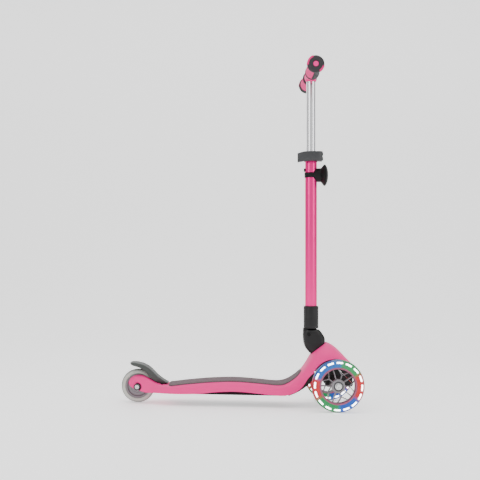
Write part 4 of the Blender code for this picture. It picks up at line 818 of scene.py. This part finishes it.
def make_fold_joint():
    outline = arc(FOLD_PIVOT, 0.0132, 90.0, 180.0, 18) + arc((0.1915, 0.1600), 0.0425, 184.0, 231.0, 22)
    outline += [saddle_point(-0.0218, -0.0080), saddle_point(0.0190, -0.0080), saddle_point(0.0193, 0.0010),
                (0.1994, 0.1590), (0.1984, 0.1622), (0.1971, 0.1653), (0.1954, 0.1685), (0.1936, 0.1714),
                (0.1915, 0.1742), (0.1893, 0.1770), (0.1872, 0.1796), (0.1850, 0.1820), (0.1838, PARTING)]
    knuckle = piece("knuckle", pillow(list(reversed(outline)), 0.0175, 0.0105, 12), "black_plastic",
                    "chassis", ["fold_knuckle"], angle=30.0)
    cut(knuckle, "tongue_slot", prism_cutter([(0.1400, 0.1565), (0.1755, 0.1565), (0.1755, 0.2000),
                                              (0.1400, 0.2000)], -0.0091, 0.0091))
    cut(knuckle, "lever_bay", prism_cutter([saddle_point(0.0105, 0.0012), saddle_point(0.0240, 0.0012),
                                            (0.2150, 0.1900), (0.1795, 0.1900), (0.1800, 0.1715),
                                            (0.1840, 0.1600)], -0.0121, 0.0121))
    smooth_again(knuckle, 28.0)
    bm = bmesh.new()
    lever_outline = [(0.1846, 0.1834), (0.1840, 0.1710), (0.1868, 0.1610), saddle_point(0.0115, 0.0020),
                     saddle_point(0.0212, 0.0020), (0.2000, 0.1615), (0.1981, 0.1662), (0.1956, 0.1706),
                     (0.1927, 0.1748), (0.1895, 0.1787)]
    add_prism(bm, lever_outline, -0.0116, 0.0116)
    bevel(piece("release_lever_moulding", bm, "black_plastic", "release_lever", ["fold_lever"], angle=34.0),
          0.0021, 5, 24.0)
    pin = [(0, -0.0190), (0.0046, -0.0190), (0.0050, -0.0178), (0.0030, -0.0178), (0.0030, 0.0178),
           (0.0050, 0.0178), (0.0046, 0.0190), (0, 0.0190)]
    turned("fold_rivet", pin, "bell_plastic", "chassis", ["fold_pin"], (FOLD_PIVOT[0], 0.0, FOLD_PIVOT[1]),
           (0, 1, 0), 48, soften=0.0003)

    low, top, bore = 0.184868, 0.2385, 0.0143
    cup = [(0, low), (0.0178, low), (0.0178, 0.2090), (0.01755, 0.2095), (0.01755, 0.2105), (0.0178, 0.2110),
           (0.0178, top - 0.0016), (0.0164, top), (bore, top), (bore, low + 0.008), (0, low + 0.008)]
    turned("sleeve_cup", cup, "black_plastic", "column", ["column_sleeve"], segments=128, column=True,
           soften=0.0006)
    px, radius = PIVOT_ON_COLUMN[0], 0.0126
    tongue = arc(PIVOT_ON_COLUMN, radius, 180.0, 360.0, 32)
    tongue += [(px + radius, low + 0.003), (-0.0150, low + 0.003), (px - radius, low - 0.0002)]
    bm = bmesh.new()
    add_prism(bm, tongue, -0.0088, 0.0088)
    bevel(piece("sleeve_tongue", bm, "black_plastic", "column", place=COLUMN), 0.0006)


# ---------------------------------------------------------------- tubes, clamp and bell
def make_tubes():
    outer = turned("outer_tube_anodised", pipe(0.0140, 0.0123, 0.1932, 0.6040), "pink_anodised", "column",
                   ["outer_tube"], segments=128, column=True, soften=0.0003)
    inner = turned("inner_tube_bright", pipe(0.0111, 0.0097, 0.5330, 0.7740), "silver_tube", "handlebar",
                   ["inner_tube"], segments=112, column=True, soften=0.0003)
    settings = (0.5630, 0.6130, 0.6630, 0.7130)
    for target, radius, levels in ((outer, 0.0046, settings[:1]), (inner, 0.0042, settings)):
        for level in levels:
            bm = bmesh.new()
            add_lathe(bm, disc(radius, 0, 0.02), 40, COLUMN @ frame_at((0, 0, level), (-1, 0, 0)))
            cut(target, f"{target.name}_hole", bm)
        smooth_again(target, 35.0)
    bush = [(0.0114, 0.5790), (0.0120, 0.5790), (0.0120, 0.6043), (0.0140, 0.6043), (0.0140, 0.6058),
            (0.0114, 0.6058)]
    turned("bush", bush, "black_plastic", "column", ["tube_bush"], segments=96, column=True, soften=0.0002)
    button = [(0, 0.0114), (0.0034, 0.0114), (0.0037, 0.0145), (0.0043, 0.0146), (0.0043, 0.0160),
              (0.0036, 0.0170), (0, 0.0173)]
    turned("catch_button", button, "black_plastic", "height_button", ["height_button"], (0, 0, settings[0]),
           (-1, 0, 0), 48, True, 0.0004)


def make_clamp():
    low, high = 0.5835, 0.6068
    collar = turned("collar", [(0.0143, low), (0.0168, low), (0.0176, low + 0.0010), (0.0176, low + 0.0060),
                               (0.0173, low + 0.0064), (0.0173, low + 0.0072), (0.0176, low + 0.0076),
                               (0.0176, high - 0.0010), (0.0168, high), (0.0117, high), (0.0117, 0.6062),
                               (0.0143, 0.6062)], "dark_grey_plastic", "column", ["clamp_collar"],
                    segments=112, column=True, soften=0.0004)
    bm = bmesh.new()
    add_prism(bm, [(0.010, low - 0.01), (0.040, low - 0.01), (0.040, high + 0.01), (0.010, high + 0.01)],
              -0.0014, 0.0014, COLUMN)
    cut(collar, "collar_slit", bm)
    smooth_again(collar, 34.0)
    for word, side in SIDES:
        near, far = sorted((0.0018 * side, 0.0090 * side))
        bm = bmesh.new()
        add_prism(bm, [(0.0150, low + 0.0006), (0.0262, low + 0.0006), (0.0285, low + 0.0030),
                       (0.0285, low + 0.0085), (0.0266, 0.5955), (0.0285, low + 0.0150),
                       (0.0285, high - 0.0030), (0.0262, high - 0.0006), (0.0150, high - 0.0006)], near, far)
        bevel(piece(f"collar_lug_{word}", bm, "dark_grey_plastic", "column", place=COLUMN), 0.0007)
    softened("clamp_lever", "dark_grey_plastic", "clamp_lever", 0.0004)
    softened("clamp_bolt", "steel", "column", 0.0003)
    turned("lever_pin", disc(0.0013, low + 0.0012, high - 0.0012), "steel", "column", ["clamp_pin"],
           (0.0215, -0.0172, 0.0), segments=24, column=True, soften=0.0002)


def make_bell():
    softened("bell_strap", "bell_plastic", "column", 0.0005)
    base = [(0, 0.0236), (0.0162, 0.0236), (0.0172, 0.0242), (0.0205, 0.0268), (0.0246, 0.0300),
            (0.0256, 0.0310), (0.0256, 0.0318), (0, 0.0318)]
    cap = [(0, 0.0380), (0.0140, 0.0372), (0.0205, 0.0345), (0.0230, 0.0322), (0.0254, 0.0322),
           (0.0260, 0.0328), (0.0257, 0.0338), (0.0242, 0.0349), (0.0225, 0.0359), (0.0210, 0.0369),
           (0.0190, 0.0379), (0.0165, 0.0388), (0.0135, 0.0396), (0.0100, 0.0402), (0.0060, 0.0406),
           (0, 0.0407)]
    for name, profile, body, node in (("bell_foot", base, "column", "bell_base"),
                                      ("bell_dome", cap, "bell_cap", "bell_cap")):
        turned(name, profile, "bell_plastic", body, [node], (0, 0, BELL_HEIGHT), (1, 0, 0), 112, True, 0.0004)


# ---------------------------------------------------------------- handlebar
def make_handlebar():
    middle, across = (0, 0, BAR_HEIGHT), (0, 1, 0)
    hub = [(0, -0.1335), (0.0104, -0.1335), (0.0104, -0.0318), (0.0128, -0.0312), (0.0138, -0.0290),
           (0.0142, -0.0180), (0.0148, -0.0070), (0.0150, 0.0), (0.0148, 0.0070), (0.0142, 0.0180),
           (0.0138, 0.0290), (0.0128, 0.0312), (0.0104, 0.0318), (0.0104, 0.1335), (0, 0.1335)]
    plug = [(0, 0.7476), (0.0086, 0.7476), (0.0093, 0.7486), (0.0093, 0.7744), (0.0125, 0.7744),
            (0.0130, 0.7820), (0.0136, BAR_HEIGHT), (0, BAR_HEIGHT)]
    turned("tee", hub, "pink_plastic", "handlebar", ["handlebar_tee"], middle, across, 96, True, 0.0007,
           extra=[(plug, (0, 0, 0), (0, 0, 1))])
    for word, side in SIDES:
        outward = (0, side, 0)
        body = [(0.0107, 0.0322), (0.0152, 0.0322), (0.0170, 0.0334), (0.0172, 0.0356), (0.0160, 0.0378),
                (0.0159, 0.0440)]
        for step in range(GRIP_RIBS):
            level = 0.0455 + step * RIB_PITCH
            height = 0.0158 - 0.0005 * math.sin(math.pi * step / (GRIP_RIBS - 1))
            body += [(height, level), (height, level + 0.0022), (height - 0.0006, level + 0.0026),
                     (height - 0.0006, level + 0.0033)]
        body += [(0.0158, 0.1205), (0.0164, 0.1250), (0.0182, 0.1275), (0.0194, 0.1295), (0.0198, 0.1310),
                 (0.0198, 0.1350), (0.0193, 0.1370), (0.0182, 0.1386), (0.0165, 0.1396), (0.0072, 0.1396),
                 (0.0066, 0.1388), (0.0064, 0.1350), (0.0107, 0.1338)]
        grip = turned(f"grip_cover_{word}", body, "grip_rubber", "handlebar", [f"grip_{word}"], middle,
                      outward, 96, True, 0.0004)
        for spare, inner, outer in ((0.0003, 0.0136, 0.0200), (0.0, 0.0140, 0.0166)):
            widen = math.degrees(spare / inner)
            outline = arc((0, BAR_HEIGHT), outer, 152.0 - widen, 262.0 + widen, 36)
            outline += arc((0, BAR_HEIGHT), inner, 262.0 + widen, 152.0 - widen, 36)
            near, far = sorted((side * (0.0460 - spare), side * (0.1180 + spare)))
            bm = bmesh.new()
            add_prism(bm, outline, near, far, COLUMN)
            if spare:
                cut(grip, f"pocket_{word}", bm)
                smooth_again(grip, 34.0)
            else:
                bevel(piece(f"insert_{word}", bm, "pink_insert", "handlebar", [f"grip_insert_{word}"]), 0.0006)
        # painted highlights: two pink patches on the flange's rim, upper-back and lower-front, standing for
        # the glints there
        bm = bmesh.new()
        for start, end in ((108.0, 186.0), (-62.0, -14.0)):
            glint_outline = arc((0, BAR_HEIGHT), 0.0203, start, end, 24)
            glint_outline += arc((0, BAR_HEIGHT), 0.0160, end, start, 24)
            near, far = sorted((side * 0.1304, side * 0.1399))
            add_prism(bm, glint_outline, near, far, COLUMN)
        bevel(piece(f"flange_patch_{word}", bm, "pink_insert", "handlebar"), 0.0007)
        cap = [(0, 0.1353), (0.0060, 0.1353), (0.0061, 0.1390), (0.0056, 0.1397), (0.0040, 0.1400),
               (0, 0.1400)]
        turned(f"bar_cap_{word}", cap, "pink_plastic", "handlebar", [f"end_cap_{word}"], middle, outward, 64,
               True, 0.0003)


make_fold_joint()
make_tubes()
make_clamp()
make_bell()
make_handlebar()

CAD_LOOK = {entry["node"]: entry["material_slot"] for entry in frame["record"]["subparts"]}
for node, obj in frame["nodes"].items():
    look = "bell_plastic" if node in ("brake_pin", "brake_spring") else CAD_LOOK[node]
    look = {"light_strip": "clear_tyre"}.get(look, look)
    obj.data.materials.clear()
    obj.data.materials.append(FINISH[look])


# ---------------------------------------------------------------- studio
def make_studio():
    """Pale floor that curves up behind the scooter, soft lights, and the camera."""
    material, tree, shader, place = base_material("studio_paper")
    tree.links.new(blend_colours(tree, noise(tree, place, 3.0), (0.90, 0.90, 0.90), (0.93, 0.93, 0.93)),
                   shader.inputs["Base Color"])
    shader.inputs["Roughness"].default_value = 0.55
    shader.inputs["Emission Color"].default_value = (1.0, 1.0, 1.0, 1.0)
    shader.inputs["Emission Strength"].default_value = 0.55
    start, bend = 1.2, 1.4
    profile = [(-5.0, 0.0), (start, 0.0)] + arc((start, bend), bend, -84.0, 0.0, 14) + [(start + bend, 6.0)]
    bm = bmesh.new()
    left = [bm.verts.new((-6.0, y, z)) for y, z in profile]
    right = [bm.verts.new((6.0, y, z)) for y, z in profile]
    for step in range(len(profile) - 1):
        bm.faces.new((left[step], right[step], right[step + 1], left[step + 1]))
    mesh = bpy.data.meshes.new("studio_floor")
    bm.to_mesh(mesh)
    bm.free()
    mesh.shade_smooth()
    mesh.materials.append(material)
    floor = bpy.data.objects.new("studio_floor", mesh)
    bpy.context.scene.collection.objects.link(floor)

    world = bpy.data.worlds.new("studio_light")
    bpy.context.scene.world = world
    world.use_nodes = True
    sky = world.node_tree
    background = sky.nodes["Background"]
    direction = sky.nodes.new("ShaderNodeTexCoord")
    split = sky.nodes.new("ShaderNodeSeparateXYZ")
    sky.links.new(direction.outputs["Generated"], split.inputs["Vector"])
    sideways = sky.nodes.new("ShaderNodeMath")
    sideways.operation = "ABSOLUTE"
    sky.links.new(split.outputs["X"], sideways.inputs[0])
    flags = spread(sky, sideways.outputs["Value"], 0.95, 0.58)
    flags.node.inputs["From Min"].default_value = 0.45
    flags.node.inputs["From Max"].default_value = 0.85
    sky.links.new(flags, background.inputs["Strength"])
    background.inputs["Color"].default_value = (1.0, 1.0, 1.0, 1.0)
    for name, spot, aim, size, power in (("left_softbox", (-1.9, -1.7, 1.5), (0, 0, 0.4), (0.9, 2.2), 26.0),
                                         ("right_softbox", (2.1, -1.5, 1.2), (0, 0, 0.4), (0.8, 2.0), 20.0),
                                         ("top_softbox", (0.1, -0.3, 2.5), (0, 0, 0), (2.2, 1.6), 34.0)):
        light = bpy.data.lights.new(name, "AREA")
        light.shape = "RECTANGLE"
        light.size, light.size_y = size
        light.energy = power
        lamp = bpy.data.objects.new(name, light)
        bpy.context.scene.collection.objects.link(lamp)
        lamp.location = spot
        lamp.rotation_euler = (Vector(aim) - Vector(spot)).to_track_quat("-Z", "Y").to_euler()

    camera = bpy.data.cameras.new("camera")
    camera.lens = 75.24
    camera.sensor_width = 36.0
    camera.shift_x, camera.shift_y = 0.0208, 0.0625
    holder = bpy.data.objects.new("camera", camera)
    bpy.context.scene.collection.objects.link(holder)
    up = Vector((-math.sin(LEAN), 0.0, math.cos(LEAN)))
    right = Vector((math.cos(LEAN), 0.0, math.sin(LEAN)))
    holder.matrix_world = (Matrix.Translation((-0.0293, -2.4, 0.3202))
                           @ Matrix((right, up, Vector((0.0, -1.0, 0.0)))).transposed().to_4x4())
    bpy.context.scene.camera = holder


make_studio()
